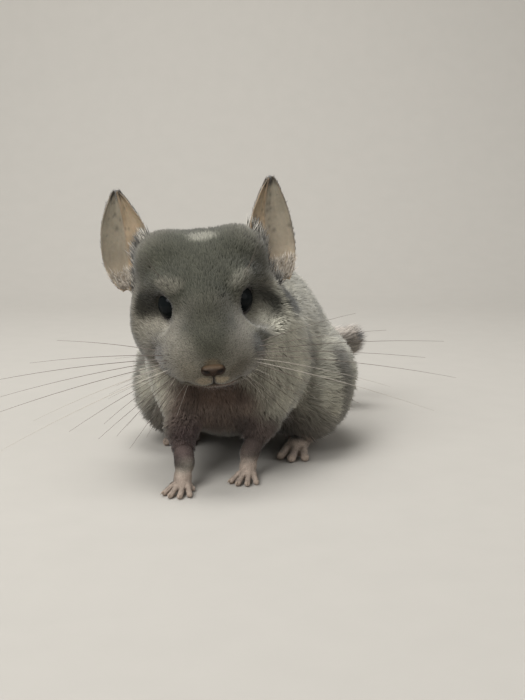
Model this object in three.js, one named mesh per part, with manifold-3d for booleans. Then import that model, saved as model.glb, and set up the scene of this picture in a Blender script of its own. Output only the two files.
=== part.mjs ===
// A young chinchilla, life size, stepping towards the viewer with its right forepaw ahead.
// Millimetres, +Z up, the floor at z = 0. The animal faces -Y, and its left side is towards +X.
// The coat's outline is one smooth field made of ellipsoids and tapered limbs. The field is turned into
// closed meshes, which thin cuts part into head, neck, torso and limbs. Ears, toes, claws, whiskers and
// tail are built on top, and rooted in or trimmed to the coat.
import * as THREE from "three";
import { mergeVertices } from "three/addons/utils/BufferGeometryUtils.js";
import Module from "manifold-3d";

const wasm = await Module();
wasm.setup();

const RAD = Math.PI / 180;
const GAP = 0.3; // between neighbours that touch
const SIDES = { left: 1, right: -1 };

// Driving sizes and the pose
const BODY_AT = [-20.5, 0, 0]; // floor point midway between the forepaws
const BODY_YAW = 11; // degrees, rump towards +X
const HEAD_AT = [-23, 8, 71.7]; // midway between the eyes
const HEAD_TURN = { yaw: 5, pitch: 20, roll: 4.5 }; // degrees: nose to +X, nose down, left side up
const EYE = { x: 12.8, y: 0, z: 0.8, r: 6.2 };
const EYE_LOOKS = [0.82, -0.57, 0.04]; // outwards and a little forwards, for the left eye
const ORBIT = { out: 12.2, r: 9, blend: 3 }; // the hollow in the coat around an eye, along its look
const NOSE_AT = [0, -33.2, -11.4];
const NOSE_RADII = [4.5, 3.2, 2.4];

// Cells of the meshes that the field is turned into
const TORSO_CELL = 8.8;
const NECK_CELL = 5;
const THIGH_CELL = 5.8;
const HEAD_CELL = 4;
const FORELEG_CELL = 3.2;
const SOLE_CELL = 3.8;

// The coat's main masses, in the body's own frame: x to its left, y to its rear, z up
const TRUNK = [
  { part: "haunches", at: [0, 70, 34], radii: [50, 46, 30], blend: 0 },
  { part: "rump", at: [0, 72, 48], radii: [36, 42, 38], blend: 12 },
  { part: "back", at: [0, 42, 49], radii: [37, 42, 38], blend: 12 },
  { part: "chest", at: [0, 26, 44], radii: [33, 25, 30], blend: 12 },
  { part: "nape", at: [0, 25, 61], radii: [27, 20, 24], blend: 12 },
  { part: "left thigh", at: [31, 60, 28], radii: [20, 28, 25], blend: 8 },
  { part: "right thigh", at: [-31, 60, 28], radii: [20, 28, 25], blend: 8 },
];

// Forelegs, in the body's frame. The right one reaches forward.
const FORELEGS = {
  left: { shoulder: [16, 24, 34], elbow: [17, 19, 22], wrist: [13.6, 9.5, 9.5] },
  right: { shoulder: [-14, 18, 32], elbow: [-13.5, 3, 21], wrist: [-8.6, -11, 10] },
};
const FORELEG_RADII = { shoulder: 12, elbow: 7, wrist: 3.7 };

// The head's masses, in its own frame: x to its left, y to its rear, z up, from midway between the eyes
const HEAD = [
  { part: "cranium", at: [0, 16, 1], radii: [27.8, 25, 23], blend: 0 },
  { part: "temple", at: [15.5, 17, 14], radii: [12, 13, 11], blend: 8, paired: true },
  { part: "cheek", at: [17.4, 12, -10], radii: [13.5, 17, 13.5], blend: 10, paired: true },
  { part: "forehead", at: [0, -3, -1], radii: [13.5, 17, 13.5], blend: 9 },
  { part: "bridge", at: [0, -16, -7], radii: [11, 15.5, 10], blend: 8 },
  { part: "muzzle", at: [0, -24, -12.2], radii: [9.8, 9, 8.6], blend: 5 },
  { part: "lower cheek", at: [18, -1, -13], radii: [10.5, 13.5, 11], blend: 6, paired: true },
  { part: "whisker pad", at: [9.4, -18.8, -13], radii: [9.9, 10.6, 8.6], blend: 5, paired: true },
  { part: "upper lip", at: [3.4, -28.6, -16.4], radii: [4.2, 3.7, 4.2], blend: 2, paired: true },
  { part: "jaw", at: [0, -12.5, -20.5], radii: [10.5, 15.5, 6.3], blend: 4 },
  { part: "brow", at: [12.5, 2, 9], radii: [8.5, 9, 6], blend: 6, paired: true },
];
const HEAD_TO_TRUNK = 8; // blend

// Lids, nostrils and mouth
const LID = { thickness: 0.75, corners: 64, arch: 54 }; // the opening's half angles, in degrees
const NOSTRIL = { inner: 1, outer: 3.1, wide: 0.75, narrow: 0.5 }; // across the nose, and radii
const MOUTH = {
  // the head's x and z from the middle of the mouth to its left corner
  line: [
    [0, -19.6],
    [1.6, -20.3],
    [3.4, -20.9],
    [5.6, -20.9],
    [8, -20.2],
    [10, -18.9],
  ],
  middle: 0.9, // radii of the line
  corner: 0.35,
};
const PHILTRUM = { heights: [-14.4, -16, -17.8, -19.6], radius: 0.5 };

// Whiskers grow in rows from the top of a pad down. Each grows outwards, sweeps back and droops.
const PAD = { at: [13.2, -20.2, -14.2], radii: [9.4, 9.2, 7.8] };
const WHISKER_ROOT = [8.4, -23.9, -10.6]; // of the first row's front whisker
const WHISKERS = { rows: 4, columns: 3, rootRadius: 0.42, tipRadius: 0.13, shortest: 40, longest: 92 };
const WHISKER_RISE = { first: 13, last: -46 }; // degrees above level, in the head's frame
const WHISKER_SWEEP = { front: -8, rear: 10 }; // degrees back from straight out
const WHISKER_STEP = { across: 2.1, back: 2.4, down: 1.8, dip: 0.5 }; // between roots
const WHISKER_PEAK = { at: 0.34, width: 0.26 }; // where the longest grow, as shares of the way down
const WHISKER_BEND = { droop: 0.12, back: 0.05 }; // at the tip, as shares of the length

// Ears
const EAR = { rearWidth: 13.4, frontWidth: 12.4, fold: 133, bulge: 1.6, thickness: 1.3, rim: 0.85 };
const EAR_POSE = {
  left: { notch: [33.5, 16, -3], bend: [23, 24, 20], tip: [31.3, 31.5, 39.5], swivel: 0 },
  right: { notch: [30, 16, -1], bend: [28.8, 24, 20], tip: [32, 31.5, 39], swivel: 28 },
};

// Feet
const FOREPAW = {
  wrist: 3.5,
  palm: 3.4,
  reach: 7.5,
  spread: 2.7, // of the toes' roots, to either side
  toe: 1.35,
  toeLength: [7.4, 9, 8.8, 6.8],
  fan: [-21, -7, 7, 21],
  thumb: { back: 3, turn: 55, length: 2.4, radius: 1.2, claw: 0.8 },
  claw: 2,
};
const HINDFOOT = {
  heel: [28, 33, 4.3], // outwards from the midline, and behind the ball
  ball: [27.6, 0, 3.6],
  ballAt: { left: 43, right: 57 }, // the right foot stands further back
  heelRadius: 5.4,
  ballRadius: 4.8,
  toe: 2.1,
  toeLength: [8, 10, 8.6],
  fan: [-16, 0, 16],
  spread: 3.2,
  claw: 2.2,
  inner: { across: 4.2, back: 4, turn: 38, length: 3.4, radius: 1.4, claw: 1.2 }, // the small inner toe
};

// Tail: the points of its curve, in the body's frame, its core's radii, and the locks on it
const TAIL = [
  [0, 104, 30],
  [2, 120, 25],
  [9, 134, 25],
  [21, 142, 30],
  [31, 144, 33],
  [40, 141, 37],
];
const TAIL_SPLIT = 0.5; // where the base ends, as a share of the length
const TAIL_CORE = { root: 6, tip: 3 };
const LOCK = {
  rings: 5,
  around: 5,
  first: 0.08,
  last: 0.95,
  width: { root: 2.6, tip: 2.9 },
  length: { root: 13, tip: 16 },
  lean: { root: 16, tip: 24 }, // degrees off the core
  flat: 0.34, // thickness as a share of the width
  stray: 9, // degrees
  point: 0.12, // width left at the very tip, as a share
  curl: 0.05,
  seed: 4,
};

// Parting planes: the head ends at HEAD_BACK and the neck at NECK_BACK, in the body's frame, above the
// throat
const HEAD_BACK = 24;
const NECK_BACK = 37;
const THROAT_Z = -26; // in the head's frame

// Ellipsoids that part the left thigh and a foreleg from the trunk, in the body's frame
const THIGH_CUT = { at: [38, 58, 24], radii: [24, 29, 27] };
const SHOULDER_CUT = { z: 14, radii: [13, 20, 17] };
const WHOLE_BOX = { low: [-92, -40, -4], high: [60, 140, 118] };

const turn = (yaw, pitch, roll) =>
  new THREE.Matrix4().makeRotationFromEuler(new THREE.Euler(pitch * RAD, -roll * RAD, yaw * RAD, "ZYX"));
const placed = (matrix, at) => matrix.setPosition(...at);
const bodyFrame = placed(turn(-BODY_YAW, 0, 0), BODY_AT);
const headFrame = placed(turn(HEAD_TURN.yaw, HEAD_TURN.pitch, HEAD_TURN.roll), HEAD_AT);
const bodyInverse = bodyFrame.clone().invert();
const headInverse = headFrame.clone().invert();

const vector = (p) => new THREE.Vector3(...p);
const onBody = (p) => vector(p).applyMatrix4(bodyFrame);
const onHead = (p) => vector(p).applyMatrix4(headFrame);
const mix = THREE.MathUtils.lerp;
const smoothstep = THREE.MathUtils.smoothstep;

// The coat's field: below zero inside, and close to the distance in millimetres near the surface

function ellipsoidDistance(p, at, radii) {
  const x = (p.x - at[0]) / radii[0];
  const y = (p.y - at[1]) / radii[1];
  const z = (p.z - at[2]) / radii[2];
  const reach = Math.hypot(x, y, z);
  const slope = Math.hypot(x / radii[0], y / radii[1], z / radii[2]);
  return (reach * (reach - 1)) / Math.max(slope, 1e-9);
}

function limbDistance(p, from, to, fromRadius, toRadius) {
  const axis = [to[0] - from[0], to[1] - from[1], to[2] - from[2]];
  const length2 = axis[0] ** 2 + axis[1] ** 2 + axis[2] ** 2;
  const along = (p.x - from[0]) * axis[0] + (p.y - from[1]) * axis[1] + (p.z - from[2]) * axis[2];
  const t = Math.min(1, Math.max(0, along / length2));
  const away = Math.hypot(
    p.x - from[0] - t * axis[0],
    p.y - from[1] - t * axis[1],
    p.z - from[2] - t * axis[2],
  );
  return away - mix(fromRadius, toRadius, t);
}

function joined(a, b, blend) {
  if (blend <= 0) return Math.min(a, b);
  const h = Math.min(1, Math.max(0, 0.5 + (0.5 * (b - a)) / blend));
  return mix(b, a, h) - blend * h * (1 - h);
}

function massesField(masses, p) {
  let field = Infinity;
  const mirrored = { x: -p.x, y: p.y, z: p.z };
  for (const { at, radii, blend, paired } of masses) {
    const here = ellipsoidDistance(p, at, radii);
    const there = paired ? ellipsoidDistance(mirrored, at, radii) : here;
    const distance = Math.min(here, there);
    field = field === Infinity ? distance : joined(field, distance, blend);
  }
  return field;
}

function forelegField(side, p) {
  const { shoulder, elbow, wrist } = FORELEGS[side];
  const upper = limbDistance(p, shoulder, elbow, FORELEG_RADII.shoulder, FORELEG_RADII.elbow);
  const lower = limbDistance(p, elbow, wrist, FORELEG_RADII.elbow, FORELEG_RADII.wrist);
  return joined(upper, lower, 4);
}

const local = new THREE.Vector3();
function coat(x, y, z) {
  const onTrunk = local.set(x, y, z).applyMatrix4(bodyInverse).clone();
  let trunk = massesField(TRUNK, onTrunk);
  trunk = joined(trunk, forelegField("left", onTrunk), 9);
  trunk = joined(trunk, forelegField("right", onTrunk), 9);
  const onSkull = local.set(x, y, z).applyMatrix4(headInverse);
  const whole = joined(trunk, massesField(HEAD, onSkull), HEAD_TO_TRUNK);
  return hollowed(whole, orbitField(onSkull), ORBIT.blend);
}

const hollowed = (field, hollow, blend) => -joined(-field, hollow, blend);

function orbitField(p) {
  const out = EYE_LOOKS.map((v) => v * ORBIT.out);
  return Math.hypot(Math.abs(p.x) - EYE.x - out[0], p.y - EYE.y - out[1], p.z - EYE.z - out[2]) - ORBIT.r;
}

function slopeOf(field, x, y, z) {
  const e = 0.2;
  return new THREE.Vector3(
    field(x + e, y, z) - field(x - e, y, z),
    field(x, y + e, z) - field(x, y - e, z),
    field(x, y, z + e) - field(x, y, z - e),
  ).divideScalar(2 * e);
}

// The point where a straight line from outside first meets the coat, or a level above it
function meet(from, direction, level = 0) {
  const p = from.clone();
  const step = direction.clone().normalize();
  for (let i = 0; i < 200; i++) {
    const away = coat(p.x, p.y, p.z) - level;
    if (away < 0.01) break;
    p.addScaledVector(step, Math.min(away, 3) * 0.7);
  }
  return p;
}

// Meshes and solids

function solid(geometry) {
  const bare = geometry.clone();
  for (const name of Object.keys(bare.attributes)) if (name !== "position") bare.deleteAttribute(name);
  const merged = mergeVertices(bare, 1e-4);
  const made = new wasm.Manifold(
    new wasm.Mesh({
      numProp: 3,
      vertProperties: new Float32Array(merged.attributes.position.array),
      triVerts: new Uint32Array(merged.index.array),
    }),
  );
  return made;
}

function geometryOf(manifold) {
  const mesh = manifold.getMesh();
  const stride = mesh.numProp;
  const positions = new Float32Array(mesh.numVert * 3);
  for (let i = 0; i < mesh.numVert; i++) {
    positions.set(mesh.vertProperties.subarray(i * stride, i * stride + 3), i * 3);
  }
  return new THREE.BufferGeometry()
    .setAttribute("position", new THREE.BufferAttribute(positions, 3))
    .setIndex(new THREE.BufferAttribute(new Uint32Array(mesh.triVerts), 1));
}

const largest = (manifold) =>
  manifold.decompose().reduce((best, piece) => (piece.volume() > best.volume() ? piece : best));
const joinedSolids = (pieces) => largest(pieces.reduce((all, piece) => all.add(piece)));

// Turns a field into a closed mesh: one vertex in each cell that the surface passes, one quad for each
// grid edge that it crosses. The vertices are then drawn onto the surface. The box's walls close it.
function meshOfField(field, low, high, cell) {
  const count = [0, 1, 2].map((i) => Math.ceil((high[i] - low[i]) / cell) + 2);
  const [nx, ny, nz] = count;
  const at = (i, j, k) => i + nx * (j + ny * k);
  const place = (...index) => index.map((n, axis) => low[axis] + (n - 0.5) * cell);
  const values = new Float64Array(nx * ny * nz);
  for (let k = 0; k < nz; k++) {
    for (let j = 0; j < ny; j++) {
      for (let i = 0; i < nx; i++) {
        const wall = i === 0 || j === 0 || k === 0 || i === nx - 1 || j === ny - 1 || k === nz - 1;
        values[at(i, j, k)] = wall ? cell : field(...place(i, j, k));
      }
    }
  }
  const corners = [0, 1, 2, 3, 4, 5, 6, 7].map((c) => [c & 1, (c >> 1) & 1, (c >> 2) & 1]);
  const edges = corners.flatMap((a, ia) =>
    corners
      .map((b, ib) => [ia, ib])
      .filter(([, ib]) => ib > ia && a.filter((v, d) => v !== corners[ib][d]).length === 1),
  );
  const vertexOf = new Map();
  const positions = [];
  for (let k = 0; k < nz - 1; k++) {
    for (let j = 0; j < ny - 1; j++) {
      for (let i = 0; i < nx - 1; i++) {
        const v = corners.map(([a, b, c]) => values[at(i + a, j + b, k + c)]);
        const sum = [0, 0, 0];
        let crossings = 0;
        for (const [ia, ib] of edges) {
          if (v[ia] < 0 === v[ib] < 0) continue;
          const t = v[ia] / (v[ia] - v[ib]);
          for (let d = 0; d < 3; d++) sum[d] += mix(corners[ia][d], corners[ib][d], t);
          crossings++;
        }
        if (!crossings) continue;
        vertexOf.set(at(i, j, k), positions.length / 3);
        const base = place(i, j, k);
        const point = sum.map((s, d) => base[d] + (s / crossings) * cell);
        positions.push(...drawnOnto(field, point, cell));
      }
    }
  }
  const indices = [];
  const steps = [1, nx, nx * ny];
  for (let k = 0; k < nz - 1; k++) {
    for (let j = 0; j < ny - 1; j++) {
      for (let i = 0; i < nx - 1; i++) {
        const here = at(i, j, k);
        const inside = values[here] < 0;
        for (let d = 0; d < 3; d++) {
          if (inside === values[here + steps[d]] < 0) continue;
          const [u, w] = [steps[(d + 1) % 3], steps[(d + 2) % 3]];
          const quad = [here - u - w, here - w, here, here - u].map((index) => vertexOf.get(index));
          if (!inside) quad.reverse();
          pushQuad(indices, positions, quad);
        }
      }
    }
  }
  const geometry = new THREE.BufferGeometry();
  geometry.setAttribute("position", new THREE.Float32BufferAttribute(positions, 3));
  geometry.setIndex(indices);
  return solid(geometry);
}

function drawnOnto(field, point, cell) {
  const p = vector(point);
  for (let n = 0; n < 3; n++) {
    const value = field(p.x, p.y, p.z);
    if (Math.abs(value) > cell * 0.6) return point; // on a wall of the box
    const slope = slopeOf(field, p.x, p.y, p.z);
    p.addScaledVector(slope, -value / Math.max(slope.lengthSq(), 0.2));
  }
  return p.toArray();
}

function pushQuad(indices, positions, [a, b, c, d]) {
  const apart = (m, n) =>
    Math.hypot(...[0, 1, 2].map((i) => positions[m * 3 + i] - positions[n * 3 + i]));
  if (apart(a, c) < apart(b, d)) indices.push(a, b, c, a, c, d);
  else indices.push(a, b, d, b, c, d);
}

// A box in world axes around a point of the body's or head's frame
const around = (centre, reach) => [
  centre.toArray().map((v, i) => v - reach[i]),
  centre.toArray().map((v, i) => v + reach[i]),
];

function ellipsoid(frame, at, radii, grow = 0, segments = 20) {
  const geometry = new THREE.SphereGeometry(1, segments, Math.round(segments * 0.6));
  geometry.scale(radii[0] + grow, radii[1] + grow, radii[2] + grow);
  geometry.translate(...at);
  return solid(geometry.applyMatrix4(frame));
}

function block(frame, low, high) {
  const size = low.map((v, i) => high[i] - v);
  const geometry = new THREE.BoxGeometry(...size);
  geometry.translate(...low.map((v, i) => v + size[i] / 2));
  return solid(geometry.applyMatrix4(frame));
}

// A closed loft along points: each section is a flattened ring, and a radius of zero ends it in a point
function loft(points, radiusAt, sides, { flatten = 1, up = new THREE.Vector3(0, 0, 1) } = {}) {
  const positions = [];
  const indices = [];
  const rings = [];
  const last = points.length - 1;
  points.forEach((point, n) => {
    const t = n / last;
    const ahead = points[Math.min(n + 1, last)].clone().sub(points[Math.max(n - 1, 0)]).normalize();
    const across = new THREE.Vector3().crossVectors(ahead, up).normalize();
    const over = new THREE.Vector3().crossVectors(across, ahead);
    const radius = radiusAt(t);
    const ring = [];
    const corners = radius < 1e-3 ? 1 : sides;
    for (let s = 0; s < corners; s++) {
      const angle = (2 * Math.PI * s) / sides;
      const wide = corners === 1 ? 0 : Math.cos(angle) * radius;
      const high = corners === 1 ? 0 : Math.sin(angle) * radius * flatten;
      ring.push(positions.length / 3);
      const corner = point.clone().addScaledVector(across, wide).addScaledVector(over, high);
      positions.push(...corner.toArray());
    }
    rings.push(ring);
  });
  for (let n = 0; n < last; n++) {
    const [a, b] = [rings[n], rings[n + 1]];
    for (let s = 0; s < sides; s++) {
      const [i, j] = [s, (s + 1) % sides];
      if (a.length > 1 && b.length > 1) indices.push(a[i], b[i], b[j], a[i], b[j], a[j]);
      else if (a.length > 1) indices.push(a[i], b[0], a[j]);
      else indices.push(a[0], b[i], b[j]);
    }
  }
  for (const [ring, flip] of [
    [rings[0], false],
    [rings[last], true],
  ]) {
    for (let s = 1; s < ring.length - 1; s++) {
      indices.push(ring[0], ...(flip ? [ring[s + 1], ring[s]] : [ring[s], ring[s + 1]]));
    }
  }
  const geometry = new THREE.BufferGeometry();
  geometry.setAttribute("position", new THREE.Float32BufferAttribute(positions, 3));
  geometry.setIndex(indices);
  const made = solid(geometry);
  return made.volume() < 0 ? solid(geometry.setIndex(indices.slice().reverse())) : made;
}

const along = (points, steps) => new THREE.CatmullRomCurve3(points).getPoints(steps);

// Head with lids, nostrils, the line of the mouth, and the pads that carry the whiskers

function eyeSocket(side) {
  return ellipsoid(headFrame, [SIDES[side] * EYE.x, EYE.y, EYE.z], [EYE.r, EYE.r, EYE.r], GAP, 16);
}

function eyeball(side) {
  return ellipsoid(headFrame, [SIDES[side] * EYE.x, EYE.y, EYE.z], [EYE.r, EYE.r, EYE.r], 0, 16);
}

// One lid: an arc on the eyeball from corner to corner, over or under the opening
function lid(side, upper) {
  const centre = vector([SIDES[side] * EYE.x, EYE.y, EYE.z]);
  const look = vector(EYE_LOOKS).normalize();
  const level = new THREE.Vector3().crossVectors(new THREE.Vector3(0, 0, 1), look).normalize();
  const upright = new THREE.Vector3().crossVectors(look, level);
  const points = [];
  const steps = 8;
  for (let n = 0; n <= steps; n++) {
    const around = (upper ? 1 : -1) * mix(-8, 188, n / steps) * RAD;
    const open = mix(LID.corners, LID.arch, Math.abs(Math.sin(around))) * RAD;
    const direction = look.clone().multiplyScalar(Math.cos(open));
    direction.addScaledVector(level, Math.cos(around) * Math.sin(open));
    direction.addScaledVector(upright, Math.sin(around) * Math.sin(open));
    direction.x *= SIDES[side];
    points.push(centre.clone().addScaledVector(direction, EYE.r + 0.25).applyMatrix4(headFrame));
  }
  return loft(points, (t) => LID.thickness * mix(0.6, 1, Math.sin(Math.PI * t)), 5);
}

// A point of the head's surface, found straight back from in front of it
const onFace = (x, z, sink = 0) => {
  const from = onHead([x, -60, z]);
  const back = vector([0, 1, 0]).transformDirection(headFrame);
  return meet(from, back).addScaledVector(back, sink);
};

function mouthLine() {
  const other = MOUTH.line.slice(1).reverse();
  const whole = [...other.map(([x, z]) => [-x, z]), ...MOUTH.line];
  const points = whole.map(([x, z]) => onFace(x, z, 0.2));
  return loft(along(points, 14), (t) => mix(MOUTH.corner, MOUTH.middle, Math.sin(Math.PI * t)), 5);
}

function philtrum() {
  const points = PHILTRUM.heights.map((z) => onFace(0, z, 0.1));
  return loft(points, () => PHILTRUM.radius, 5);
}

function nostril(side) {
  const inner = [SIDES[side] * NOSTRIL.inner, NOSE_AT[1] - 1.9, NOSE_AT[2] - 0.6];
  const outer = [SIDES[side] * NOSTRIL.outer, NOSE_AT[1] - 1.2, NOSE_AT[2] + 0.3];
  const arch = [(inner[0] + outer[0]) / 2, inner[1] - 0.3, inner[2] + 0.9];
  return loft([inner, arch, outer].map(onHead), (t) => mix(NOSTRIL.wide, NOSTRIL.narrow, t), 6);
}

function nose() {
  const pad = ellipsoid(headFrame, NOSE_AT, NOSE_RADII, 0, 14);
  return pad.subtract(nostril("left")).subtract(nostril("right"));
}

const padCutter = (side, grow) =>
  ellipsoid(headFrame, [SIDES[side] * PAD.at[0], PAD.at[1], PAD.at[2]], PAD.radii, grow, 14);

// One whisker of a pad. The longest grow a third of the way down.

function whisker(side, row, column) {
  const s = SIDES[side];
  const share = (row + 1 - (column + 1) / WHISKERS.columns) / (WHISKERS.rows - 1 / WHISKERS.columns);
  const rootX = s * (WHISKER_ROOT[0] + column * WHISKER_STEP.across);
  const rootY = WHISKER_ROOT[1] + column * WHISKER_STEP.back;
  const rootZ = WHISKER_ROOT[2] - row * WHISKER_STEP.down - column * WHISKER_STEP.dip;
  const offPeak = (share - WHISKER_PEAK.at) / WHISKER_PEAK.width;
  const length = mix(WHISKERS.shortest, WHISKERS.longest, Math.exp(-(offPeak ** 2)));
  const rise = mix(WHISKER_RISE.first, WHISKER_RISE.last, share) * RAD;
  const sweep = mix(WHISKER_SWEEP.front, WHISKER_SWEEP.rear, column / (WHISKERS.columns - 1)) * RAD;
  const ahead = new THREE.Vector3(
    s * Math.cos(sweep) * Math.cos(rise),
    Math.sin(sweep) * Math.cos(rise),
    Math.sin(rise),
  );
  const points = [];
  const steps = 3;
  for (let n = 0; n <= steps; n++) {
    const t = n / steps;
    const bent = new THREE.Vector3(rootX, rootY, rootZ).addScaledVector(ahead, t * length);
    bent.z -= t * t * length * WHISKER_BEND.droop;
    bent.y += t * t * length * WHISKER_BEND.back;
    points.push(bent.applyMatrix4(headFrame));
  }
  return loft(points, (t) => mix(WHISKERS.rootRadius, WHISKERS.tipRadius, t), 4);
}

function whiskerPad(side, headMesh, grownHead) {
  const around = grownHead.subtract(padCutter(side, 0));
  const pieces = [headMesh.intersect(padCutter(side, 0))];
  for (let row = 0; row < WHISKERS.rows; row++) {
    for (let column = 0; column < WHISKERS.columns; column++) {
      pieces.push(whisker(side, row, column).subtract(around));
    }
  }
  return joinedSolids(pieces);
}

// Ears: a leaf folded along its midrib, the cup open to the front. The rear half points outwards and the
// front half inwards and forwards. The right ear is swivelled further forward than the left.

// A point of the leaf: u runs from the notch at its foot to the tip, v from the front edge to the rear
function earPoint(side, u, v) {
  const { notch, bend, tip, swivel } = EAR_POSE[side];
  const rib = notch.map((from, i) => (1 - u) ** 2 * from + 2 * u * (1 - u) * bend[i] + u * u * tip[i]);
  const rear = EAR.rearWidth * Math.sin(Math.PI * u ** 0.85) ** 0.66;
  const front = EAR.frontWidth * Math.sin(Math.PI * u ** 0.7) ** 0.8;
  const away = Math.sqrt(v * v + 0.02) - Math.sqrt(0.02);
  const width = away * (v > 0 ? rear : front);
  const heading = (v > 0 ? -swivel : 180 + (180 - EAR.fold) - swivel) * RAD;
  const hollow = EAR.bulge * 4 * away * (1 - away);
  const x = rib[0] + Math.cos(heading) * width;
  const y = rib[1] + Math.sin(heading) * width + hollow;
  return new THREE.Vector3(SIDES[side] * x, y, rib[2] + 0.08 * width);
}

function ear(side) {
  const rows = 11;
  const columns = 8;
  const e = 1e-3;
  const grid = [];
  for (let i = 0; i <= rows; i++) {
    const u = mix(0.03, 0.985, i / rows);
    const line = [];
    for (let j = 0; j <= columns; j++) {
      const v = mix(-1, 1, j / columns);
      const p = earPoint(side, u, v);
      const du = earPoint(side, u + e, v).sub(p);
      const dv = earPoint(side, u, v + e).sub(p);
      const normal = new THREE.Vector3().crossVectors(du, dv).normalize();
      const thick = mix(EAR.thickness, EAR.rim, Math.max(v * v, u)) / 2;
      line.push([p.clone().addScaledVector(normal, thick), p.clone().addScaledVector(normal, -thick)]);
    }
    grid.push(line);
  }
  const positions = [];
  const index = (i, j, face) => (i * (columns + 1) + j) * 2 + face;
  for (const p of grid.flat(2)) positions.push(...p.applyMatrix4(headFrame).toArray());
  const indices = [];
  const quad = (a, b, c, d) => indices.push(a, b, c, a, c, d);
  for (let i = 0; i < rows; i++) {
    for (let j = 0; j < columns; j++) {
      quad(index(i, j, 0), index(i + 1, j, 0), index(i + 1, j + 1, 0), index(i, j + 1, 0));
      quad(index(i, j, 1), index(i, j + 1, 1), index(i + 1, j + 1, 1), index(i + 1, j, 1));
    }
    quad(index(i, 0, 0), index(i, 0, 1), index(i + 1, 0, 1), index(i + 1, 0, 0));
    quad(index(i, columns, 0), index(i + 1, columns, 0), index(i + 1, columns, 1), index(i, columns, 1));
  }
  for (let j = 0; j < columns; j++) {
    quad(index(0, j, 0), index(0, j + 1, 0), index(0, j + 1, 1), index(0, j, 1));
    quad(index(rows, j, 0), index(rows, j, 1), index(rows, j + 1, 1), index(rows, j + 1, 0));
  }
  const geometry = new THREE.BufferGeometry();
  geometry.setAttribute("position", new THREE.Float32BufferAttribute(positions, 3));
  geometry.setIndex(indices);
  const made = solid(geometry);
  return made.volume() < 0 ? solid(geometry.setIndex(indices.slice().reverse())) : made;
}

// Feet: a palm or long sole, toes that fan out from it, and claws, all cut flat on the floor

const floor = block(new THREE.Matrix4(), [-300, -300, -60], [300, 300, 0]);

// A toe from its knuckle: arched, padded at its end, with a small claw that points down
function toe(frame, knuckle, angle, length, radius, claw) {
  const ahead = new THREE.Vector3(Math.sin(angle * RAD), -Math.cos(angle * RAD), 0);
  const at = (reach, height) =>
    vector(knuckle).addScaledVector(ahead, reach).setZ(height).applyMatrix4(frame);
  const middle = at(length * 0.45, Math.max(knuckle[2] * 0.7, radius * 0.85));
  const end = at(length, radius * 0.65);
  const flesh = loft(
    along([at(-1.5, knuckle[2]), middle, end, at(length + radius * 0.7, radius * 0.6)], 3),
    (t) => radius * (t > 0.9 ? 0.5 : 1 - 0.18 * Math.sin(Math.PI * t)),
    5,
  );
  const hooked = [
    at(length - 0.6, radius * 1.25),
    at(length + claw * 0.55, radius * 1.1),
    at(length + claw, radius * 0.35),
  ];
  const nail = loft(hooked, (t) => mix(0.62, 0.2, t), 4);
  return flesh.add(nail);
}

function forepaw(side) {
  const s = SIDES[side];
  const { elbow, wrist } = FORELEGS[side];
  const knuckle = [wrist[0] + 0.4, wrist[1] - FOREPAW.reach, 2.6];
  const above = wrist.map((v, i) => mix(v, elbow[i], 0.25));
  const palm = loft(
    along([onBody(above), onBody(wrist), onBody([wrist[0], wrist[1] - 3.4, 4.6]), onBody(knuckle)], 5),
    (t) => mix(FOREPAW.wrist, FOREPAW.palm, t) * (t > 0.95 ? 0.8 : 1),
    7,
    { flatten: 0.85 },
  );
  const pieces = [palm];
  FOREPAW.fan.forEach((angle, n) => {
    const across = mix(-FOREPAW.spread, FOREPAW.spread, n / 3);
    const root = [knuckle[0] + across, knuckle[1] - 0.6 + Math.abs(across) * 0.35, 2.9];
    const length = FOREPAW.toeLength[s > 0 ? n : 3 - n];
    pieces.push(toe(bodyFrame, root, angle, length, FOREPAW.toe, FOREPAW.claw));
  });
  const { thumb } = FOREPAW;
  const thumbRoot = [knuckle[0] - s * 2.4, knuckle[1] + thumb.back, 2.4];
  pieces.push(toe(bodyFrame, thumbRoot, -s * thumb.turn, thumb.length, thumb.radius, thumb.claw));
  return joinedSolids(pieces);
}

// Everything beyond a plane across the forearm at the wrist
function beyondWrist(side, gap) {
  const { elbow, wrist } = FORELEGS[side];
  const down = onBody(wrist).sub(onBody(elbow)).normalize();
  const sideways = new THREE.Vector3().crossVectors(down, new THREE.Vector3(0, 1, 0)).normalize();
  const third = new THREE.Vector3().crossVectors(down, sideways);
  const frame = new THREE.Matrix4().makeBasis(sideways, third, down);
  frame.setPosition(onBody(wrist));
  return block(frame, [-20, -20, gap], [20, 20, 60]);
}

function hindfoot(side) {
  const s = SIDES[side];
  const back = HINDFOOT.ballAt[side];
  const across = ([x, y, z]) => onBody([s * x, y + back, z]);
  const { heel, ball } = HINDFOOT;
  const middle = [(heel[0] + ball[0]) / 2, (heel[1] + ball[1]) / 2, 4];
  const sole = loft(
    along([across([heel[0], heel[1] + 3, heel[2]]), across(heel), across(middle), across(ball)], 7),
    (t) => mix(HINDFOOT.heelRadius, HINDFOOT.ballRadius, t) * (t < 0.05 ? 0.5 : 1),
    8,
  );
  const pieces = [sole];
  HINDFOOT.fan.forEach((angle, n) => {
    const across = mix(-HINDFOOT.spread, HINDFOOT.spread, n / 2);
    const root = [s * (ball[0] + across), back - 2.4 + Math.abs(n - 1) * 0.9, 3.4];
    pieces.push(toe(bodyFrame, root, angle * s, HINDFOOT.toeLength[n], HINDFOOT.toe, HINDFOOT.claw));
  });
  const { inner } = HINDFOOT;
  const innerRoot = [s * (ball[0] - inner.across), back + inner.back, 3.2];
  pieces.push(toe(bodyFrame, innerRoot, -s * inner.turn, inner.length, inner.radius, inner.claw));
  return joinedSolids(pieces);
}

// Tail: it leaves the rump low, turns to the animal's left and lifts its brush. Flat tapered locks grow
// from a thin core, ring after ring, and lie along it. They are longest and stand off most at the tip.

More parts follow.
